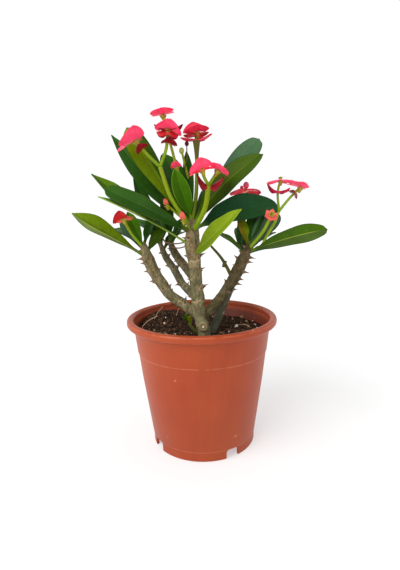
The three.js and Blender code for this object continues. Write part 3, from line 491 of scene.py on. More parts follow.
def arc(middle, radius, start, end, steps):
    """Points of an arc in a profile, from one angle to another, in degrees."""
    angles = (math.radians(start + (end - start) * i / steps) for i in range(steps + 1))
    return [(middle[0] + radius * math.cos(a), middle[1] + radius * math.sin(a)) for a in angles]


def smooth(value, low, high):
    share = min(max((value - low) / (high - low), 0), 1)
    return share * share * (3 - 2 * share)


def mix(low, high, share):
    return low + (high - low) * share


class Path:
    """A smooth curve through points in millimetres, kept in metres, that can be read by distance."""

    SAMPLES = 200

    def __init__(self, points):
        self.points = [Vector(p) * MM for p in points]
        self.shares = [i / self.SAMPLES for i in range(self.SAMPLES + 1)]
        places = [self.at_share(share) for share in self.shares]
        self.lengths = [0.0]
        for a, b in zip(places, places[1:]):
            self.lengths.append(self.lengths[-1] + (b - a).length)
        self.length = self.lengths[-1] / MM

    def at_share(self, share):
        """A centripetal Catmull-Rom curve's point, with its ends carried on in a straight line."""
        spots, last = self.points, len(self.points) - 1
        i = min(int(share * last), last - 1)
        along = share * last - i
        here, there = spots[i], spots[i + 1]
        before = spots[i - 1] if i > 0 else 2 * here - there
        after = spots[i + 2] if i + 2 <= last else 2 * there - here
        d0, d1, d2 = ((b - a).length ** 0.5 for a, b in ((before, here), (here, there), (there, after)))
        out = ((here - before) / d0 - (there - before) / (d0 + d1) + (there - here) / d1) * d1
        into = ((there - here) / d1 - (after - here) / (d1 + d2) + (after - there) / d2) * d1
        bend = -3 * here + 3 * there - 2 * out - into
        return here + out * along + bend * along**2 + (2 * here - 2 * there + out + into) * along**3

    def share_at(self, distance):
        return float(np.interp(distance * MM, self.lengths, self.shares))

    def at(self, distance):
        return self.at_share(self.share_at(distance))

    def spread(self, steps):
        """Points at even distances from one end to the other."""
        return [self.at(self.length * i / steps) for i in range(steps + 1)]

    def heading(self, distance):
        step = 0.05
        before = self.at(max(distance - step, 0))
        return (self.at(min(distance + step, self.length)) - before).normalized()


AXES = {name: Path(stem["path"]) for name, stem in STEMS.items()}


def stem_radius(name, distance):
    radii = STEMS[name]["radii"]
    place = AXES[name].share_at(distance) * (len(radii) - 1)
    return float(np.interp(place, range(len(radii)), radii))


def crossways(heading):
    """Two unit vectors at right angles to a heading, the first of them level."""
    level = heading.cross(UP)
    level = Vector((1, 0, 0)) if level.length < 0.05 else level.normalized()
    return level, level.cross(heading).normalized()


def repeatable(seed):
    """Random numbers from 0 to 1, the same ones as in the part's source."""
    state = seed
    while True:
        state = (state * 1664525 + 1013904223) % 4294967296
        yield state / 4294967296


# ---- Finishes ----

def colour(code):
    """A linear colour from a screen colour's six-figure code."""
    shades = (int(code[i : i + 2], 16) / 255 for i in (0, 2, 4))
    return (*(s / 12.92 if s <= 0.04045 else ((s + 0.055) / 1.055) ** 2.4 for s in shades), 1)


class Signal:
    """A number in a shader. Arithmetic on it adds Math nodes."""

    def __init__(self, finish, socket):
        self.finish, self.socket = finish, socket

    def _with(self, operation, *values):
        return self.finish.node("Math", {"operation": operation}, *values)

    def __add__(self, other):
        return self._with("ADD", self, other)

    def __sub__(self, other):
        return self._with("SUBTRACT", self, other)

    def __rsub__(self, other):
        return self._with("SUBTRACT", other, self)

    def __mul__(self, other):
        return self._with("MULTIPLY", self, other)

    def __truediv__(self, other):
        return self._with("DIVIDE", self, other)

    __radd__, __rmul__ = __add__, __mul__

    def wave(self):
        return self._with("SINE", self)

    def size(self):
        return self._with("ABSOLUTE", self)

    def at_least(self, other):
        return self._with("MAXIMUM", self, other)

    def between(self, low, high):
        """0 below a first value, 1 above a second, smooth between them; the first may be the larger."""
        settings = {"interpolation_type": "SMOOTHSTEP"}
        return self.finish.node("MapRange", settings, self, low, high)


class Finish:
    """A material, made node by node round one Principled shader."""

    def __init__(self, name, **plain):
        self.material = bpy.data.materials.new(name)
        self.material.use_nodes = True
        self.tree = self.material.node_tree
        self.shader = self.tree.nodes["Principled BSDF"]
        for socket, value in plain.items():
            self.shader.inputs[socket.replace("_", " ")].default_value = value

    def node(self, kind, settings=None, *values, out=0, **named):
        """Adds a node, sets it, fills its sockets in order or by name, and gives one output."""
        node = self.tree.nodes.new("ShaderNode" + kind)
        for setting, value in (settings or {}).items():
            if setting == "stops":
                self._set_stops(node.color_ramp, value)
            else:
                setattr(node, setting, value)
        sockets = [s for s in node.inputs if s.enabled]
        for socket, value in [*zip(sockets, values), *((node.inputs[k], v) for k, v in named.items())]:
            if isinstance(value, Signal):
                self.tree.links.new(value.socket, socket)
            elif value is not None:
                socket.default_value = value
        outputs = [s for s in node.outputs if s.enabled]
        return Signal(self, outputs[out])

    def _set_stops(self, ramp, stops):
        while len(ramp.elements) < len(stops):
            ramp.elements.new(1)
        for element, (place, shade) in zip(ramp.elements, stops):
            element.position, element.color = place, shade

    def place(self):
        return self.node("TexCoord", out=3)

    def height(self):
        """How far up the piece a point lies, in millimetres."""
        return self.node("SeparateXYZ", {}, self.place(), out=2) / MM

    def stretched(self, x, y, z):
        """The place on the piece, with each direction scaled, for a pattern that is longer one way."""
        return self.node("Mapping", {}, Vector=self.place(), Scale=(x, y, z))

    def noise(self, per_metre, detail=3, roughness=0.55, at=None):
        pattern = {"Scale": per_metre, "Detail": detail, "Roughness": roughness}
        return self.node("TexNoise", {}, Vector=at or self.place(), **pattern)

    def cells(self, per_metre):
        return self.node("TexVoronoi", {}, Vector=self.place(), Scale=per_metre)

    def attribute(self, name):
        return self.node("Attribute", {"attribute_name": name}, out=2)

    def blend(self, share, first, second):
        """A colour that goes from a first one to a second one."""
        return self.node("Mix", {"data_type": "RGBA"}, share, first, second)

    def ramp(self, share, *stops):
        return self.node("ValToRGB", {"stops": stops}, share)

    def darker(self, shade, amount):
        """A colour made lighter or darker by a factor that varies."""
        settings = {"data_type": "RGBA", "blend_type": "MULTIPLY"}
        grey = self.node("CombineColor", {}, amount, amount, amount)
        return self.node("Mix", settings, 1.0, shade, grey)

    def bumps(self, height, distance):
        return self.node("Bump", {}, Strength=1.0, Distance=distance * MM, Height=height)

    def wear(self, **sockets):
        """Feeds sockets of the shader and gives the material."""
        for socket, value in sockets.items():
            self.tree.links.new(value.socket, self.shader.inputs[socket.replace("_", " ")])
        return self.material


# Painted highlights, pale lines where light catches the pot's steps and edges: the height and half the
# width of each.
HIGHLIGHT_LINES = [
    (POT["stack"] + 0.4, 0.7), (POT["foot_height"] + 0.1, 0.6), (POT["height"] - POT["lip"] + 0.5, 0.55),
    (POT["height"] - 1, 0.6),
]


def pot_plastic():
    """Moulded terracotta plastic: faint streaks, scuffs and dust, and a satin shine. Painted highlights lie
    along its edges and steps, and painted shade darkens it towards the foot and on the inner wall.
    """
    finish = Finish("pot_plastic", Specular_IOR_Level=0.32)
    height = finish.height()
    broad = finish.noise(18, 2)
    streaks = finish.noise(1, 4, at=finish.stretched(160, 160, 22))
    fine = finish.noise(900, 2)
    base = finish.ramp(broad, (0.3, colour("983814")), (0.7, colour("a5441b")))
    # Streaks and fine grain vary the tone at random; the darkening towards the foot is painted shade.
    base = finish.darker(base, streaks * 0.2 + fine * 0.06 + height.between(0, 80) * 0.14 + 0.78)
    dust = finish.noise(260, 5, 0.7).between(0.6, 0.78) * 0.18
    base = finish.blend(dust, base, colour("b8684a"))
    # Painted highlights: pale lines along the steps and edges, broken by the streaks.
    for line, half in HIGHLIGHT_LINES:
        highlight = (height - line).size().between(half, half * 0.3) * streaks.between(0.35, 0.55)
        base = finish.blend(highlight * 0.32, base, colour("cf7a58"))
    scuffs = finish.cells(75).between(0.12, 0.03) * finish.noise(40).between(0.5, 0.62)
    base = finish.blend(scuffs * 0.6, base, colour("dc8b6a"))
    # Painted shade: the inner wall is darkened.
    base = finish.darker(base, 1 - finish.attribute("inside") * 0.48)
    dents = finish.cells(60).between(0.06, 0.02) * finish.noise(55).between(0.42, 0.36)
    base = finish.blend(dents, base, colour("4a160c"))
    rough = streaks * 0.14 + broad * 0.1 + 0.3
    grain = finish.bumps(fine * 0.5 + streaks, 0.08)
    return finish.wear(Base_Color=base, Roughness=rough, Normal=grain)


def potting_mix():
    finish = Finish("potting_mix", Specular_IOR_Level=0.2)
    clods = finish.noise(420, 6, 0.7)
    bits = finish.cells(650)
    base = finish.ramp(clods, (0.36, colour("0b0604")), (0.5, colour("27150b")), (0.66, colour("6b4a2e")))
    base = finish.blend(bits.between(0.22, 0.05) * 0.6, base, colour("6f4c30"))
    height = clods + bits * 0.4
    return finish.wear(Base_Color=base, Roughness=clods * 0.2 + 0.78, Normal=finish.bumps(height, 1.6))


def mineral(name, low, high, rough=0.7):
    """A grain, a fibre or a small plain part of the plant, mottled between two colours."""
    finish = Finish(name, Specular_IOR_Level=0.3)
    mottle = finish.noise(1500, 4)
    base = finish.ramp(mottle, (0.35, colour(low)), (0.65, colour(high)))
    return finish.wear(Base_Color=base, Roughness=mottle * 0.1 + rough, Normal=finish.bumps(mottle, 0.3))


def bark():
    """Grey-green succulent bark with pale blotches and scars, tan where young, and a cut face's rings, with
    painted shade on the stems marked for it.
    """
    finish = Finish("bark", Specular_IOR_Level=0.08)
    scar, young, cold, cut, shady = map(finish.attribute, ("scar", "young", "cold", "cut", "shady"))
    streaks = finish.noise(1, 5, 0.65, at=finish.stretched(420, 420, 170))
    blotches = finish.noise(150, 4, 0.6)
    flecks = finish.noise(600, 4, 0.7)
    base = finish.ramp(streaks, (0.3, colour("4b462c")), (0.48, colour("6d6648")), (0.66, colour("8a8260")))
    tan = finish.ramp(streaks, (0.32, colour("5c4830")), (0.5, colour("7e6848")), (0.66, colour("9c8660")))
    base = finish.blend(young * blotches.between(0.42, 0.56), base, tan)
    base = finish.blend(cold * 0.7, base, colour("4f574c"))
    base = finish.blend(blotches.between(0.52, 0.64) * 0.55, base, colour("9a9170"))
    base = finish.blend(flecks.between(0.56, 0.66) * 0.35, base, colour("a39878"))
    base = finish.blend(scar * blotches.between(0.4, 0.56), base, colour("b39a72"))
    # Painted shade: the stems marked for it are made browner here and darker on the next line.
    base = finish.blend(shady * 0.45, base, colour("4f4020"))
    base = finish.darker(base, finish.noise(900, 3) * 0.6 + 0.7 - shady * 0.34)
    rings = ((0.14, "d8ccb0"), (0.3, "6f5a3c"), (0.8, "8f8360"), (0.93, "b0a27c"))
    face = finish.ramp(cut, *((place, colour(code)) for place, code in rings))
    base = finish.blend(cut.between(0.99, 0.94), base, face)
    relief = streaks + flecks * 0.8
    return finish.wear(Base_Color=base, Roughness=blotches * 0.15 + 0.62, Normal=finish.bumps(relief, 1.0))


def horn(name, root, tip):
    """A thorn, darker towards its point."""
    finish = Finish(name, Specular_IOR_Level=0.3)
    out = finish.attribute("out")
    base = finish.blend(out.between(0.4, 0.9), colour(root), colour(tip))
    base = finish.darker(base, finish.noise(900, 3) * 0.5 + 0.75)
    return finish.wear(Base_Color=base, Roughness=out * 0.1 + 0.45)


# A leaf's looks: the colours of the half farther from the front, of the nearer half, of the rib and of the
# edge, how strong the rib is and how rough the skin. The last number is how far beside the middle the two
# colours meet, where they do. Where the two halves differ, the difference is painted light and shade, as on
# a leaf folded along its rib with one half lit and the other in shade.
LEAF_LOOKS = {
    "olive": ("4a6a06", "3a5a08", "7f9828", "3a5a10", 0.4, 0.42),
    "deep": ("2e5218", "264c14", "56783a", "3c4c18", 0.2, 0.4),
    "striped": ("4a7a14", "86a238", "a8bc58", "7c9c34", 0.9, 0.4),
    "dark": ("264f0c", "22470c", "426424", "143808", 0.15, 0.42),
    "halved": ("304f04", "627a03", "5f7f20", "1c3a04", 0.15, 0.42, -0.3),
    "bright": ("406d02", "385f02", "5f9420", "6c9c2a", 0.35, 0.42),
    "mossy": ("374f02", "304902", "66761c", "243c04", 0.5, 0.42),
    "dusty": ("456343", "3d5b3c", "5c7c5c", "2c4830", 0.15, 0.5),
    "glossy": ("1e4726", "204822", "3a6444", "14361c", 0.15, 0.34),
    "young": ("718816", "688112", "93a63a", "86a02c", 0.4, 0.45),
    "back": ("28540d", "224c0a", "56742c", "1c440c", 0.5, 0.42),
    "split": ("5c7404", "74874a", "b4b868", "3c5a04", 0.9, 0.42, 0.45),
    "ribbed": ("365503", "3c521b", "86983c", "26450a", 0.8, 0.42),
    "brownish": ("6c7b08", "7a6a10", "7f8a30", "4c4a10", 0.3, 0.42),
}


def leaf_skin(name, far, near, rib, edge, rib_strength, rough, shift=0):
    """A succulent leaf: two halves whose colours differ by painted light and shade, a pale rib, broken faint
    side veins, a thin edge, and painted shade towards the stalk.
    """
    finish = Finish("leaf_" + name, Specular_IOR_Level=0.08)
    across, along = finish.attribute("across"), finish.attribute("along")
    out, beside = across.size(), across + shift
    mottle = finish.noise(240, 4, 0.6)
    broad = finish.noise(45, 2)
    # Painted light and shade: the two halves take different colours, one lit and one shaded.
    base = finish.blend(beside.between(-0.06, 0.06), colour(near), colour(far))
    # Mottled tone at random; the darkening towards the stalk, where along is small, is painted shade.
    base = finish.darker(base, mottle * 0.45 + broad * 0.65 + along * 0.6 + 0.16)
    veins = ((along * 13 - out * 2.4 + broad * 2.2) * math.tau).wave() * 0.5 + 0.5
    seen = veins.between(0.8, 1) * (1 - out) * mottle.between(0.46, 0.6)
    base = finish.blend(seen * 0.14, base, colour(rib))
    middle = beside.size().between(0.09, 0.02) * along.between(1.0, 0.75) * rib_strength
    base = finish.blend(middle, base, colour(rib))
    base = finish.blend(along.between(0.2, 0.04) * 0.6, base, colour("7f9a28"))
    base = finish.blend(out.between(0.9, 0.99) * 0.8, base, colour(edge))
    relief = seen * 0.5 + mottle * 0.3 - out.between(0.12, 0.0) * 0.8
    skin = finish.bumps(relief, 0.3)
    return finish.wear(Base_Color=base, Roughness=mottle * 0.16 + (rough - 0.06), Normal=skin)


def stalk_skin():
    """Yellow-green flower stalks, a little browner towards the bloom, and rusty where they are marked so."""
    finish = Finish("stalk", Specular_IOR_Level=0.25)
    out = finish.attribute("out")
    streaks = finish.noise(1, 3, at=finish.stretched(500, 500, 90))
    base = finish.blend(out.between(0.1, 0.9), colour("7d9c04"), colour("8c9c10"))
    base = finish.blend(finish.attribute("rusty"), base, colour("4a3a10"))
    base = finish.darker(base, streaks * 0.5 + 0.72)
    return finish.wear(Base_Color=base, Roughness=streaks * 0.1 + 0.4, Normal=finish.bumps(streaks, 0.2))


def funnel_skin():
    finish = Finish("funnel", Specular_IOR_Level=0.4)
    mottle = finish.noise(700, 3)
    base = finish.ramp(mottle, (0.3, colour("7f7c12")), (0.7, colour("b8a428")))
    return finish.wear(Base_Color=base, Roughness=mottle * 0.1 + 0.42, Normal=finish.bumps(mottle, 0.15))


# A bract's looks: the colours of its face, its edge and its heart. Crimson and ruby are painted shade:
# they give the lower bracts, which sit in shade, a darker red.
BRACT_LOOKS = {
    "pink": ("fb4c72", "ec3056", "ff8698"),
    "rose": ("e4304c", "b81c34", "ff7080"),
    "crimson": ("8c0a1a", "500412", "a4182c"),
    "ruby": ("b0183c", "7c0c24", "d04060"),
    "coral": ("dc6a54", "c84a3c", "f0a888"),
    "salmon": ("e46a5e", "c8443e", "a82420"),
    "scarlet": ("c01c22", "8a0e18", "e0504a"),
    "pale": ("f0b8a8", "e07068", "fff0e0"),
}


def bract_skin(name, petal, edge, heart):
    """A bract: a paler heart, fine veins that fan out from it, a deeper edge, and a faint glow in its own
    colour, painted light that stands in for light shining through.
    """
    # The emission is painted light: the bract glows faintly in its own colour.
    finish = Finish("bract_" + name, Specular_IOR_Level=0.25, Emission_Strength=0.22)
    across, along = finish.attribute("across"), finish.attribute("along")
    away = along.size()
    mottle = finish.noise(260, 3, 0.5)
    base = finish.blend(mottle.between(0.35, 0.65) * 0.5, colour(petal), colour(edge))
    fan = (across * 9 / (away * 0.6 + 0.4)).wave() * 0.5 + 0.5
    base = finish.darker(base, fan * 0.1 + 0.93)
    base = finish.blend(away.between(0.35, 0.05) * 0.5, base, colour(heart))
    base = finish.blend(across.size().at_least(away).between(0.82, 1.0) * 0.55, base, colour(edge))
    relief = fan * 0.4 + mottle * 0.5
    skin = finish.bumps(relief, 0.12)
    return finish.wear(Base_Color=base, Emission_Color=base, Roughness=mottle * 0.12 + 0.42, Normal=skin)


# ---- Pot ----

def wall_radius(z):
    """The outer wall's radius at a height."""
    heights = (POT["foot_height"], POT["stack"], POT["height"] - POT["lip"])
    return float(np.interp(z, heights, (POT["foot"] + POT["step"], POT["bend"], POT["top"])))


def pot_profile():
    """From the middle of the floor's underside, up the outside, over the lip and down the inside."""
    rim, height, wall, floor, step = (POT[k] for k in ("rim", "height", "wall", "floor", "step"))
    foot, foot_height, stack = POT["foot"], POT["foot_height"], POT["stack"]
    under = height - POT["lip"]
    inner, roll = foot - POT["foot_wall"], POT["roll"]
    outside = [
        (0.5, floor), (inner - 0.6, floor), (inner, floor - 0.6), (inner, 0.3), (inner + 0.4, 0),
        (foot - 0.4, 0), (foot, 0.3), (foot + 0.1, foot_height - 0.9),
        (foot + 0.1, foot_height - 0.5), (foot + step, foot_height), (foot + step + 0.1, foot_height + 0.4),
        (wall_radius(30), 30), (wall_radius(55), 55),
        (wall_radius(stack) - step - 0.08, stack - 0.8), (wall_radius(stack) - step, stack - 0.4),
        (wall_radius(stack), stack + 0.2), (wall_radius(stack) + 0.06, stack + 0.6),
        (wall_radius(90), 90), (POT["top"] - 0.1, under - 1.2), (POT["top"] + 0.5, under - 0.1),
    ]
    lip = arc((rim - roll, under + roll), roll, -80, 0, 9)
    lip += arc((rim - roll, height - roll), roll, 0, 90, 9)
    lip += arc((POT["mouth"] + roll, height - roll), roll, 90, 180, 8)
    inside = [
        (POT["mouth"] - 0.2, under - 0.5), (POT["top"] - wall, under - 2.5),
        (wall_radius(stack) - wall, stack + 0.6), (wall_radius(stack) - wall - step, stack - 0.6),
        (wall_radius(foot_height) - wall, foot_height + 2.5),
        (wall_radius(foot_height) - wall - 2, floor + wall), (0.5, floor + wall),
    ]
    return outside + lip + inside


def notch_cutter(turn):
    """A block as deep as a drain notch, with its upper corners rounded."""
    width, height, reach = NOTCH["width"], NOTCH["height"], NOTCH["reach"]
    middle = (reach + POT["rim"]) / 2
    bpy.ops.object.select_all(action="DESELECT")
    bpy.ops.mesh.primitive_cube_add(size=1, location=(middle * MM, 0, 0))
    cutter = bpy.context.object
    cutter.scale = ((POT["rim"] - reach) * MM, width * MM, 2 * height * MM)
    added("notch_cutter")
    edit(cutter)
    bpy.ops.mesh.select_all(action="DESELECT")
    leave_edit()
    for edge in cutter.data.edges:
        ends = [cutter.data.vertices[i].co for i in edge.vertices]
        edge.select = all(end.z > 0 for end in ends) and abs(ends[0].y - ends[1].y) < 1e-6
    bpy.ops.object.mode_set(mode="EDIT")
    bpy.ops.mesh.select_mode(type="EDGE")
    bpy.ops.mesh.bevel(offset=NOTCH["corner"] * MM, segments=6)
    leave_edit()
    cutter.data.transform(Matrix.Rotation(math.radians(turn), 4, "Z"))
    return cutter


def is_inside(x, y, z):
    """1 for a point on the wall's inner side, from a little above the foot to the lip, otherwise 0."""
    lowest, highest = 20, POT["height"] - POT["lip"] - 0.3
    return float(lowest < z < highest and math.hypot(x, y) < wall_radius(z) - POT["step"])


def make_pot():
    pot = turned("pot_body", pot_profile(), 160)
    for turn in NOTCH["turns"]:
        cutter = notch_cutter(turn)
        modified(pot, "BOOLEAN", object=cutter, operation="DIFFERENCE", solver="EXACT")
        discarded(cutter)
    # The inner wall's mark, for the painted shade there.
    mark(pot, "inside", [is_inside(*spot) for spot in places_of(pot) / MM])
    shaded(pot, 40)
    hand_in(pot, pot_plastic(), "pot_plastic", "pot")


# ---- Soil ----

# Where loose pieces lie: within a radius, clear of the trunk's foot, and raised by a share of their height.
STREWN = {"radius": 50, "trunk": (1, -13), "clear": 9, "raised": 0.3}
SOIL_PATTERNS = [("clods", 4.5, 2.6), ("crumbs", 1.5, 1.8)]


def soil_height(x, y):
    (mx, my), spread = SOIL["mound_at"], SOIL["mound_spread"]
    mound = math.exp(-((x - mx) ** 2 + (y - my) ** 2) / (2 * spread**2))
    return SOIL["level"] + SOIL["mound_height"] * mound


def make_soil():
    """The underside that stands on the pot's floor, and rings across the top that can be roughened."""
    level, radius, rings = SOIL["level"], SOIL["radius"], 34
    profile = [(0.5, 7), (38, 7), (41, 11), (radius - 0.6, level - 4)]
    profile += [(radius * (1 - i / rings) + 0.3, level) for i in range(rings)]
    soil = turned("soil_bed", profile, 150)
    modified(soil, "SUBSURF", subdivision_type="SIMPLE", levels=1, render_levels=1)
    top = soil.vertex_groups.new(name="surface")
    for vertex in soil.data.vertices:
        x, y, z = vertex.co / MM
        if z > level - 1:
            top.add([vertex.index], 1, "REPLACE")
            vertex.co.z += (soil_height(x, y) - level) * MM
    roughened(soil, SOIL_PATTERNS, vertex_group="surface", direction="Z")
    hand_in(shaded(soil), potting_mix(), "potting_mix", "soil")
    return soil


def lump(name, fineness=1):
    """A rounded lump of one millimetre's radius."""
    bpy.ops.object.select_all(action="DESELECT")
    bpy.ops.mesh.primitive_ico_sphere_add(subdivisions=fineness, radius=MM)
    return added(name)


def scatter(name, ground, count, sizes, draw, finish, flat=0.6):
    """Small flattened lumps strewn over the soil, sunk a little into it and clear of the trunk."""
    seed, heap = lump(name + "_seed"), []
    trunk_x, trunk_y = STREWN["trunk"]
    while len(heap) < count:
        away, turn = draw.uniform(0, 1) ** 0.5 * STREWN["radius"], draw.uniform(0, math.tau)
        x, y = away * math.cos(turn), away * math.sin(turn)
        if math.hypot(x - trunk_x, y - trunk_y) < STREWN["clear"]:
            continue
        heap.append(laid_lump(seed, name, ground, x, y, draw.uniform(*sizes), draw, flat))
    discarded(seed)
    hand_in(shaded(joined(name, heap)), finish, "potting_mix", "soil")


def laid_lump(seed, name, ground, x, y, size, draw, flat):
    """A copy of a lump, turned at random, on the ground's nearest point or a slightly farther, higher one."""
    near = np.argmin((ground[:, 0] - x * MM) ** 2 + (ground[:, 1] - y * MM) ** 2 - ground[:, 2] * MM)
    turn = Quaternion([draw.uniform(-1, 1) for _ in range(4)])
    stretch = Matrix.Diagonal((size, size * draw.uniform(0.6, 1), size * flat, 1))
    spot = Vector((x * MM, y * MM, ground[near][2] + STREWN["raised"] * size * flat * MM))
    place = Matrix.Translation(spot) @ turn.normalized().to_matrix().to_4x4() @ stretch
    return copied(seed, name, place)


# Grains that stand out on the soil: place and size.
PERLITE = [
    (29, 8.7, 1.9), (45, 12, 1.1), (45.6, 4.4, 1.2), (44.5, 24, 1.0), (21.7, -5.2, 0.8), (18.8, -13, 0.8),
    (-31, 6, 1.0), (-42, 14, 0.8), (-21, -12.7, 0.8), (9, -7, 0.7), (-30.7, 16.5, 0.7), (12, -36, 0.9),
    (-14, 36, 1.1), (10, 40, 1.0),
]
TAN_GRAINS = [
    (36.6, 38, 2.1), (39.2, 23.6, 1.6), (28, 34, 1.2), (39, 11, 1.0), (15, -9, 0.9), (-38, -6, 1.1),
    (-4, 44, 1.3),
]
# Dry fibres on the soil: the points of each, and its radius.
FIBRES = [
    ([(-50, -4, 92), (-46, -2, 98), (-41, 1, 101), (-36, 2, 103)], 0.28),
    ([(-40, 12, 98), (-36, 16, 104), (-33, 18, 107)], 0.22),
    ([(-22, 20, 98), (-20, 22, 103), (-19, 20, 107)], 0.22),
    ([(9, -26, 90), (14, -28, 91), (19, -27, 90.5), (24, -28, 90)], 0.3),
    ([(-30, -12, 93), (-26, -16, 92.5), (-20, -17, 91)], 0.25),
    ([(30, 12, 91), (36, 10, 92), (40, 4, 91)], 0.25),
]


def make_ground_cover(soil):
    draw, ground = random.Random(4), places_of(soil)
    white = mineral("perlite", "d8d2c4", "f6f2ea")
    tan = mineral("grit", "8a6a48", "c0a074")
    clod = mineral("clod", "180d07", "5c3e2a", 0.85)
    chip = mineral("chip", "3a2416", "8c6844", 0.75)
    scatter("soil_crumbs", ground, 560, (0.5, 1.7), draw, clod)
    scatter("bark_chips", ground, 170, (0.6, 1.8), draw, chip, 0.35)
    scatter("fine_grit", ground, 160, (0.25, 0.55), draw, tan)
    for name, grains, finish in (("perlite", PERLITE, white), ("tan_grains", TAN_GRAINS, tan)):
        seed = lump(name + "_seed", 2)
        heap = [laid_lump(seed, name, ground, x, y, size, draw, 0.8) for x, y, size in grains]
        discarded(seed)
        hand_in(shaded(joined(name, heap)), finish, "potting_mix", "soil")
    lines = [(Path(points).spread(14), radius) for points, radius in FIBRES]
    strands = [rod("fibre", line, [radius] * len(line), 6) for line, radius in lines]
    fibre = mineral("fibre", "b08a62", "dcc09a")
    hand_in(shaded(joined("dry_fibres", strands)), fibre, "potting_mix", "soil")


# ---- Stems and thorns ----

# What grows at the trunk's foot, the dried stalk on the right branch and the dry twigs behind the trunk:
# points, the radius at the start and at the end.
STUB = ([(1, -13, 97), (1, -20.3, 99.6)], 3.7, 3.4)
SIDE_SHOOT = ([(0, -14, 91), (-7, -16, 97), (-10, -17, 102)], 2.2, 1.1)
DRIED = [
    ([(24, -8, 136), (16.8, -6, 149.6), (8.5, -3, 159.6)], 1.5, 0.9),
    ([(20, -7, 147.5), (18.2, -9, 147), (17.7, -9, 143.7)], 0.8, 1.2),
]
TWIGS = [
    ([(-29.4, -3, 167), (-26.5, -3, 163.2), (-18.2, -3, 162), (-8, -3, 163.8)], 0.6, 0.5),
    ([(-22.7, -4, 160), (-16.7, -4, 158.6), (-7, -4, 161.4)], 0.5, 0.5),
]
# The side shoot's leaves, in the same terms as the others, and where they start.
SMALL_LEAF_ROOT = (-9, -16.5, 100)
SMALL_LEAVES = [
    ((-15, -18, 107), 0, 3.6, 0.6, 0, 0.65, 0.7, 0, 0.1, "mossy"),
    ((-9, -21, 108), 0, 3.6, 0.6, 0, 0.65, 0.7, 0, 0.1, "brownish"),
    ((-13, -12, 108), 0, 3.6, 0.6, 0, 0.65, 0.7, 0, 0.1, "mossy"),
]
# Rings that fallen branches left: the stem, how far along, and the width. They stand out by a share of it.
RING_RISE = 0.4
RING_SCARS = [
    ("centre", 62, 0.7), ("left", 19.5, 0.8), ("right", 22, 0.8), ("backLeft", 17, 0.8), ("right", 9, 0.6),
    ("centre", 93, 0.9), ("backMiddle", 14, 0.7), ("backRight", 60, 0.7),
]
# Thorns that stand out against the light: the stem, how far along, which way, and the length.
SEEN_THORNS = [
    ("centre", 73, (1, -0.2), 5.2), ("centre", 86.5, (1, -0.3), 4), ("centre", 97, (1, -0.2), 5),
    ("centre", 102, (1, -0.5), 5), ("right", 38.5, (1, -0.2), 4.6), ("right", 42.5, (1, -0.4), 3.6),
    ("right", 48.5, (1, -0.3), 5), ("right", 57, (1, -0.3), 4), ("right", 60.5, (1, 0), 5),
    ("right", 56, (-1, -0.2), 4), ("right", 61, (-1, -0.4), 4), ("right", 66, (-1, 0), 4),
    ("left", 62.5, (-1, -0.3), 5), ("left", 68, (-1, 0), 4.6), ("left", 52.5, (-1, -0.2), 3.2),
    ("left", 44.5, (-1, -0.2), 3.4), ("left", 34, (1, 0), 2.6), ("backLeft", 36, (1, -0.3), 4),
    ("centre", 66, (-1, 0.2), 3), ("centre", 90, (-1, -0.3), 3.4),
]
# A thorn's radius at each share of its length, from its broad root.
THORN_PROFILE = [(2.1, 0), (1.85, 0.2), (1.3, 0.36), (0.66, 0.56), (0.32, 0.78), (0.07, 1)]
# The pads that thorns stand on: how far out from the thorn's root their middle is, and their half sizes.
PAD = {"out": 1.15, "size": (1.7, 1.7, 0.95)}
BARK_PATTERNS = [("knobs", 7, 1.0), ("cracks", 1.6, 0.35)]
# The stretches over which marks on the bark fade: away from a ring, in shares of its width, away from a
# thorn's root, and from old bark to young along a stem, measured from the start of its leafy end.
FADES = {"ring": (0.35, 1.1), "pad": (1.7, 2.7), "young": (-26, 4)}
FAINT_PAD = 0.35  # how strongly two pads of three show
CUT_REACH = 4  # how far the cut stub's rings reach from its middle
# How much greyer the bark of some stems is, and how much painted shade darkens it.
COLD = {"backRight": 1, "backLeft": 0.5, "backMiddle": 0.4}
PAINTED_SHADE = {"right": 1, "backMiddle": 0.5}


def leafy_start(name):
    return AXES[name].length - STEMS[name]["leafy"]


def thorn_at(name, distance, outwards, length):
    """A thorn's root, the way it points, its whole length and the way out of the stem."""
    heading = AXES[name].heading(distance)
    root = AXES[name].at(distance) + outwards * (stem_radius(name, distance) - THORN["sunk"]) * MM
    return root, (outwards + heading * THORN["lean"]).normalized(), length + THORN["sunk"], outwards


def thorn_pairs(name, start, end, draw):
    """The pairs of thorns on a stretch of stem. They climb it in a spiral."""
    turn, distance = next(draw) * 360, start
    while distance < end:
        turn += THORN_PAIR["turn"]
        for beside in (-THORN_PAIR["spread"], THORN_PAIR["spread"]):
            length = mix(THORN["shortest"], THORN["longest"], next(draw))
            place = distance + next(draw)
            side, over = crossways(AXES[name].heading(place))
            angle = math.radians(turn + beside)
            yield thorn_at(name, place, side * math.cos(angle) + over * math.sin(angle), length)
        distance += THORN["every"]


def all_thorns():
    draw, thorns = repeatable(11), []
    for name, stem in STEMS.items():
        top = leafy_start(name) - 0.15 - THORN["every"] / 3
        thorns += thorn_pairs(name, stem["foot"], top, draw)
    for name in STEMS:
        margin = THORN["every"] / 2
        last = AXES[name].length - margin
        thorns += thorn_pairs(name, leafy_start(name) + margin, last, repeatable(len(name)))
    for name, distance, (x, y), length in SEEN_THORNS:
        heading = AXES[name].heading(distance)
        outwards = Vector((x, y, 0))
        outwards = (outwards - heading * outwards.dot(heading)).normalized()
        thorns.append(thorn_at(name, distance, outwards, length))
    return thorns


def twig(name, points, start, end, sides=14):
    """A rod that thins evenly."""
    path = Path(points)
    steps = max(6, round(path.length / 1.2))
    return rod(name, path.spread(steps), [mix(start, end, i / steps) for i in range(steps + 1)], sides)


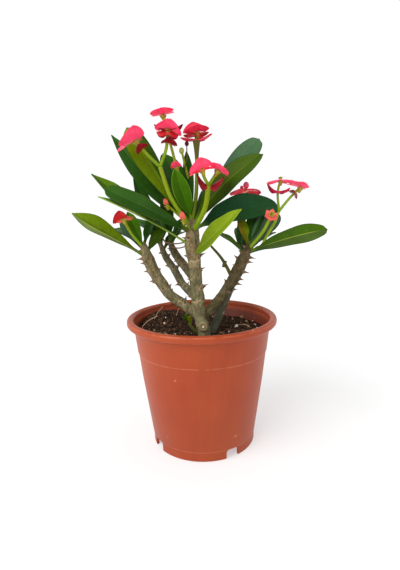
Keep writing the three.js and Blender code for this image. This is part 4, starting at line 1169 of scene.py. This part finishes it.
def stem_rods():
    rods = [twig("stub", *STUB, sides=22)]
    for name, axis in AXES.items():
        steps = round(axis.length / 1.5)
        radii = [stem_radius(name, axis.length * i / steps) for i in range(steps + 1)]
        rods.append(rod("stem_" + name, axis.spread(steps), radii, 20))
    return rods


def leaf_scar_pads(thorns):
    """The low pads that the thorns stand on."""
    seed, pads = lump("pad_seed", 2), []
    for root, _, _, outwards in thorns:
        place = standing(root + outwards * PAD["out"] * MM, outwards)
        pads.append(copied(seed, "pad", place @ Matrix.Diagonal((*PAD["size"], 1))))
    discarded(seed)
    return pads


def ring_ridges():
    """A low ridge round the stem at each ring scar."""
    ridges = []
    for name, distance, width in RING_SCARS:
        bpy.ops.object.select_all(action="DESELECT")
        radii = {"major_radius": stem_radius(name, distance) * MM, "minor_radius": RING_RISE * width * MM}
        bpy.ops.mesh.primitive_torus_add(major_segments=32, minor_segments=8, **radii)
        ridge = added("ridge")
        ridge.data.transform(standing(AXES[name].at(distance), AXES[name].heading(distance)))
        ridges.append(ridge)
    return ridges


def search_tree(places):
    tree = kdtree.KDTree(len(places))
    for i, place in enumerate(places):
        tree.insert(place, i)
    tree.balance()
    return tree


def ring_scar(name, distance, x):
    """How much a point belongs to a ring scar. A ring wavers with the point's place across."""
    waver = 0.6 * math.sin(x * 1.1) + 0.35 * math.sin(x * 2.7 + distance)
    rings = [abs(distance - ring + waver) / width for stem, ring, width in RING_SCARS if stem == name]
    return 1 - smooth(min(rings, default=FADES["ring"][1]), *FADES["ring"])


def mark_bark(wood, thorns):
    """Marks where the bark is scarred, young, cut, greyer or given painted shade, by the stem that each point
    is on.
    """
    spots = [(name, distance) for name, axis in AXES.items() for distance in range(int(axis.length) + 1)]
    tree = search_tree([AXES[name].at(distance) for name, distance in spots])
    roots = search_tree([root for root, *_ in thorns])
    stub_end = Vector(STUB[0][-1]) * MM
    marks = {name: [] for name in ("scar", "young", "cold", "cut", "shady")}
    for vertex in wood.data.vertices:
        name, distance = spots[tree.find(vertex.co)[1]]
        axis = AXES[name]
        distance += (vertex.co - axis.at(distance)).dot(axis.heading(distance)) / MM
        _, nearest, gap = roots.find(vertex.co)
        pad = (FAINT_PAD if nearest % 3 else 1) * (1 - smooth(gap / MM, *FADES["pad"]))
        marks["scar"].append(max(ring_scar(name, distance, vertex.co.x / MM), pad))
        marks["young"].append(smooth(distance, *(leafy_start(name) + edge for edge in FADES["young"])))
        marks["cold"].append(COLD.get(name, 0))
        marks["cut"].append(min((vertex.co - stub_end).length / MM / CUT_REACH, 1))
        marks["shady"].append(PAINTED_SHADE.get(name, 0))
    for name, values in marks.items():
        mark(wood, name, values)


def make_stems():
    thorns = all_thorns()
    wood = joined("stems_bark", stem_rods() + leaf_scar_pads(thorns) + ring_ridges())
    modified(wood, "REMESH", mode="VOXEL", voxel_size=0.5 * MM)
    modified(wood, "SMOOTH", factor=0.6, iterations=4)
    roughened(wood, BARK_PATTERNS, direction="NORMAL")
    mark_bark(wood, thorns)
    hand_in(shaded(wood), bark(), "bark", "stems")

    seed = turned("thorn", THORN_PROFILE, 8)
    mark(seed, "out", places_of(seed)[:, 2] / MM)
    spines = []
    for i, (root, direction, length, _) in enumerate(thorns):
        size = Matrix.Diagonal((THORN["width"], THORN["width"], length, 1))
        spines.append(copied(seed, "thorn_%d" % i, standing(root, direction) @ size))
    discarded(seed)
    hand_in(shaded(joined("thorns", spines)), horn("thorn", "7a5c40", "44281a"), "bark", "stems")


def make_small_things(skins):
    """The side shoot by the trunk with its little leaves, the dried flower stalk and the dry twigs."""
    shoot = painted(twig("side_shoot", *SIDE_SHOOT), mineral("side_shoot", "343c12", "62642a", 0.55))
    root = Vector(SMALL_LEAF_ROOT) * MM
    leaves = [leaf_blade("small_leaf", root, leaf, skins, i) for i, leaf in enumerate(SMALL_LEAVES)]
    hand_in(shaded(joined("side_shoot", [shoot, *leaves])), None, "bark", "stems")
    dried = [twig("dried", *piece, sides=10) for piece in DRIED]
    husk = mineral("dried_stalk", "343c10", "6a6420", 0.6)
    hand_in(shaded(joined("dried_stalk", dried)), husk, "bark", "stems")
    twigs = [twig("twig", *piece, sides=8) for piece in TWIGS]
    hand_in(shaded(joined("twigs", twigs)), mineral("twig", "5a3c28", "8c6a50"), "bark", "stems")


# ---- Leaves ----

def half_width(share, width, broadest, taper):
    """Half a leaf's width at a share of its length: a narrow stalk, then the blade."""
    power = math.log(0.5) / math.log(broadest)
    blade = math.sin(math.pi * min(share, 0.995) ** power) ** taper
    return max(LEAF["petiole"] / 2, width / 2 * blade * smooth(share, 0.02, 0.3))


def leaf_blade(name, root, leaf, skins, number):
    """A leaf: a sheet folded along its rib and bowed along its length, thick at its stalk and rib."""
    tip, _, width, bow, roll, broadest, taper, sweep, wave, look = leaf
    chord = Vector(tip) * MM - root
    heading = chord.normalized()
    front = -1 if heading.x < 0 else 1
    face = Quaternion(heading, math.radians(roll) * front) @ (UP - heading * heading.z).normalized()
    side = heading.cross(face)

    def shape(q, v):
        """q runs across from edge to edge, and s along from the stalk to the point."""
        s = math.sin((v + 1) * math.pi / 4)
        end, stretch = smooth(s, 0.975, 1.0), smooth(s, 0.1, 0.3)
        half = mix(half_width(s, width, broadest, taper), LEAF["point"], end)
        arch = 4 * s * (1 - s)
        ripple = wave * q * q * math.sin(s * 17 + q * 1.6 + number * 2.1) * stretch * (1 - end)
        rise = math.tan(math.radians(LEAF["fold"])) * half * abs(q) ** 1.25 * stretch
        rise -= LEAF["groove"] * math.exp(-((q / 0.12) ** 2)) * stretch * (1 - s)
        middle = root + chord * s + (face * bow + side * sweep * front) * arch * MM
        place = middle + (face * (rise + ripple) - side * front * q * half) * MM
        thin = mix(LEAF["blade"], LEAF["edge"], q**4) / LEAF["petiole"]
        rib = LEAF["rib"] * math.exp(-((q / 0.2) ** 2)) * (1 - s)
        return place, mix(1, thin + rib, smooth(s, 0.05, 0.3)), q, s

    return painted(shaped_sheet(name, 10, 26, LEAF["petiole"], shape), skins[look])


def make_leaves(skins):
    for name, leaves in LEAVES.items():
        blades = []
        for i, leaf in enumerate(leaves):
            root = AXES[name].at(AXES[name].length - leaf[1])
            blades.append(leaf_blade("leaf_%s_%d" % (name, i), root, leaf, skins, i))
        hand_in(joined("leaves_" + name, blades), None, "leaf_green", "shoot_" + name)


# ---- Flower stalks, funnels and bracts ----

def stalk_axes():
    """The course of each stalk, from where it starts to its end."""
    axes = {}
    for name, (start, below, path, _, _) in STALKS.items():
        if start in axes:
            root = axes[start].points[-1] / MM
        else:
            root = AXES[start].at(AXES[start].length - below) / MM
        axes[name] = Path([root, *path])
    return axes


STALK_AXES = stalk_axes()


def shoot_of(stalk):
    start = STALKS[stalk][0]
    return start if start in STEMS else shoot_of(start)


def cup_share(radius):
    """A bloom on a thin stalk is not full-grown yet."""
    return min(1, radius / CUP["grown"])


def sheath(axis, radius):
    """The cone below the upright bloom's lower bracts."""
    top = axis.length - SHEATH["back"]
    steps = 10
    points = [axis.at(top - SHEATH["length"] * (1 - i / steps)) for i in range(steps + 1)]
    radii = [mix(radius, SHEATH["radius"], (i / steps) ** 1.3) for i in range(steps + 1)]
    cone = rod("sheath", points, radii, 16)
    mark(cone, "out", 0.1)
    mark(cone, "rusty", SHEATH["rusty"])
    return shaded(cone, 50)


def bloom_cup(funnel, share):
    """A funnel, and on it the little cup with its five glands and a few stamens."""
    seat, neck = CUP["seat"], CUP["neck"]
    radius, height, wide, length = (CUP[k] * share for k in ("radius", "height", "funnel", "length"))
    body = turned(
        "bloom_cup",
        [(0.3, -length), (neck, -length + 0.2), (neck * 1.35, -length * 0.75), (wide * 0.72, -length * 0.45),
         (wide, -seat - 0.5), (wide * 0.96, -seat - 0.2), (neck, -seat), (neck, 0.4),
         (radius * 0.8, height * 0.35), (radius, height * 0.62), (radius * 0.98, height * 0.9),
         (radius * 0.8, height * 0.97), (radius * 0.55, height * 0.8), (0.3, height * 0.72)],
        18,
    )
    # How many there are, the first one's turn, how far out and up they stand, and their half sizes.
    glands = (5, 0, radius * 0.95, height * 0.98, (0.75, 1.05, 0.32))
    stamens = (4, 0.4, 0.45, height * 1.02, (0.28, 0.28, 0.85))
    seed, bits = lump("gland_seed"), []
    for count, first, away, up, size in (glands, stamens):
        for i in range(count):
            turn = Matrix.Rotation(math.tau * i / count + first, 4, "Z")
            out = Matrix.Translation(Vector((away, 0, up)) * MM)
            bits.append(copied(seed, "bit", turn @ out @ Matrix.Diagonal((*size, 1))))
    discarded(seed)
    return painted(shaded(joined("bloom_cup", [body, *bits])), funnel)


def closed_buds(name, end, stalk_finish):
    """The buds at a stalk's end, and the thin stalk beside it that the dark one has."""
    buds = []
    for spot, radius, shades in BUDS[name]:
        bud = lump("bud", 3)
        size = Matrix.Diagonal((radius, radius, radius * BUD_LENGTH, 1))
        bud.data.transform(Matrix.Translation(end + Vector(spot) * MM) @ size)
        buds.append(shaded(painted(bud, mineral("bud", *shades, 0.45))))
    if name == BUD_STALK["beside"]:
        points = [end / MM + Vector(point) for point in BUD_STALK["path"]]
        thin = twig("bud_stalk", points, *BUD_STALK["radii"], 8)
        mark(thin, "out", 1)
        mark(thin, "rusty", BUD_STALK["rusty"])
        buds.append(shaded(painted(thin, stalk_finish)))
    return buds


def make_stalks():
    stalk_finish, funnel = stalk_skin(), funnel_skin()
    seeds = {share: bloom_cup(funnel, share) for share in sorted({cup_share(s[3]) for s in STALKS.values()})}
    for shoot in STEMS:
        pieces = []
        for name, (_, _, _, radius, facing) in STALKS.items():
            if shoot_of(name) != shoot:
                continue
            axis = STALK_AXES[name]
            steps = max(8, round(axis.length / 1.5))
            points = axis.spread(steps)
            radii = [radius * mix(*STALK_TAPER, i / steps) for i in range(steps + 1)]
            stalk = rod("stalk_" + name, points, radii, 12)
            away = np.linalg.norm(places_of(stalk) - np.array(points[0]), axis=1)
            mark(stalk, "out", away / (axis.length * MM))
            mark(stalk, "rusty", SHEATH["stalk_rusty"] if name == SHEATH["stalk"] else 0)
            pieces.append(painted(shaded(stalk), stalk_finish))
            if name in BUDS:
                pieces += closed_buds(name, points[-1], stalk_finish)
            elif facing:
                place = standing(points[-1], Vector(facing).normalized())
                pieces.append(copied(seeds[cup_share(radius)], "cup_" + name, place))
            if name == SHEATH["stalk"]:
                pieces.append(painted(sheath(axis, radius), stalk_finish))
        if pieces:
            hand_in(joined("stalks_" + shoot, pieces), None, "leaf_green", "shoot_" + shoot)
    for seed in seeds.values():
        discarded(seed)


def bract_pair(name, node, bracts, skins):
    """Two kidney-shaped bracts grown together round the stalk, a little wavy at their edges."""
    stalk, back, size, sides, turn, droops, dome, look = bracts
    axis = STALK_AXES[stalk]
    facing = axis.heading(axis.length - back) if back else Vector(STALKS[stalk][4]).normalized()
    spin = UP.rotation_difference(facing) @ Quaternion(UP, math.radians(turn))
    place = Matrix.Translation(axis.at(axis.length - back)) @ spin.to_matrix().to_4x4()
    waist = NARROW.get(name, BRACT["waist"])
    waviness = BRACT["crossed_wave" if name == CROSSED else "wave"]

    def shape(u, q):
        """s runs along from one bract's point to the other's, and q across from side to side."""
        s = math.sin(u * math.pi / 2)
        reach = abs(s)
        lobe = math.sqrt(max(0, 1 - reach**4)) * mix(waist, 1, smooth(reach, 0, 0.5))
        half = max(0.5, lobe * sides[q < 0] * size)
        rim = smooth(max(reach, abs(q) * 0.95), 0.55, 1)
        wave = waviness * size * rim * math.sin(7 * q + 5.5 * s + len(name) * 1.7)
        fall = math.tan(math.radians(droops[s > 0])) * size * reach**2 + dome * half * q * q
        point = BRACT["point"] * size * smooth(reach, 0.9, 1) * (1 - abs(q)) * math.copysign(1, s)
        spot = Vector((s * size * 0.97 + point, q * half, wave - fall)) * MM
        return spot, mix(1, BRACT["rim"], rim), q, s

    pair = shaped_sheet("bracts_" + name, 28, 12, BRACT["thick"], shape)
    if name == CROSSED:
        crossing = [copied(pair, "crossing", Matrix.Rotation(math.radians(a), 4, "Z")) for a in (60, 120)]
        pair = joined(pair.name, [pair, *crossing])
    pair.data.transform(place)
    hand_in(pair, skins[OTHER_LOOKS.get(name, look)], "bract_" + BRACTS[node][-1], "bracts_" + node)


# ---- The whole plant ----

def make_floor():
    bpy.ops.object.select_all(action="DESELECT")
    bpy.ops.mesh.primitive_plane_add(size=FLOOR["size"])
    floor = added("floor")
    floor.data.transform(Matrix.Translation((0, 0, -FLOOR["drop"] * MM)))
    glow = {"Emission_Color": (1, 1, 1, 1), "Emission_Strength": FLOOR["glow"]}
    finish = Finish("floor", Specular_IOR_Level=0.2, **glow)
    grain = finish.noise(3, 2)
    base = finish.ramp(grain, *zip((0.3, 0.7), ((grey, grey, grey, 1) for grey in FLOOR["greys"])))
    floor.data.materials.append(finish.wear(Base_Color=base, Roughness=grain * 0.1 + 0.8))
    floor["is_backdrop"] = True


def make_plant():
    leaf_skins = {name: leaf_skin(name, *look) for name, look in LEAF_LOOKS.items()}
    bract_skins = {name: bract_skin(name, *look) for name, look in BRACT_LOOKS.items()}
    make_pot()
    make_ground_cover(make_soil())
    make_stems()
    make_small_things(leaf_skins)
    make_leaves(leaf_skins)
    make_stalks()
    for name, bracts in BRACTS.items():
        bract_pair(name, name, bracts, bract_skins)
    for i, (node, *lobes) in enumerate(LOBES):
        bract_pair("%s_lobes_%d" % (node, i), node, lobes, bract_skins)


set_camera()
light_studio()
make_floor()
make_plant()

boxes = {"cad": CAD_BOX, "visual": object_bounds()}
{name: [list(corner) for corner in box] for name, box in boxes.items()}
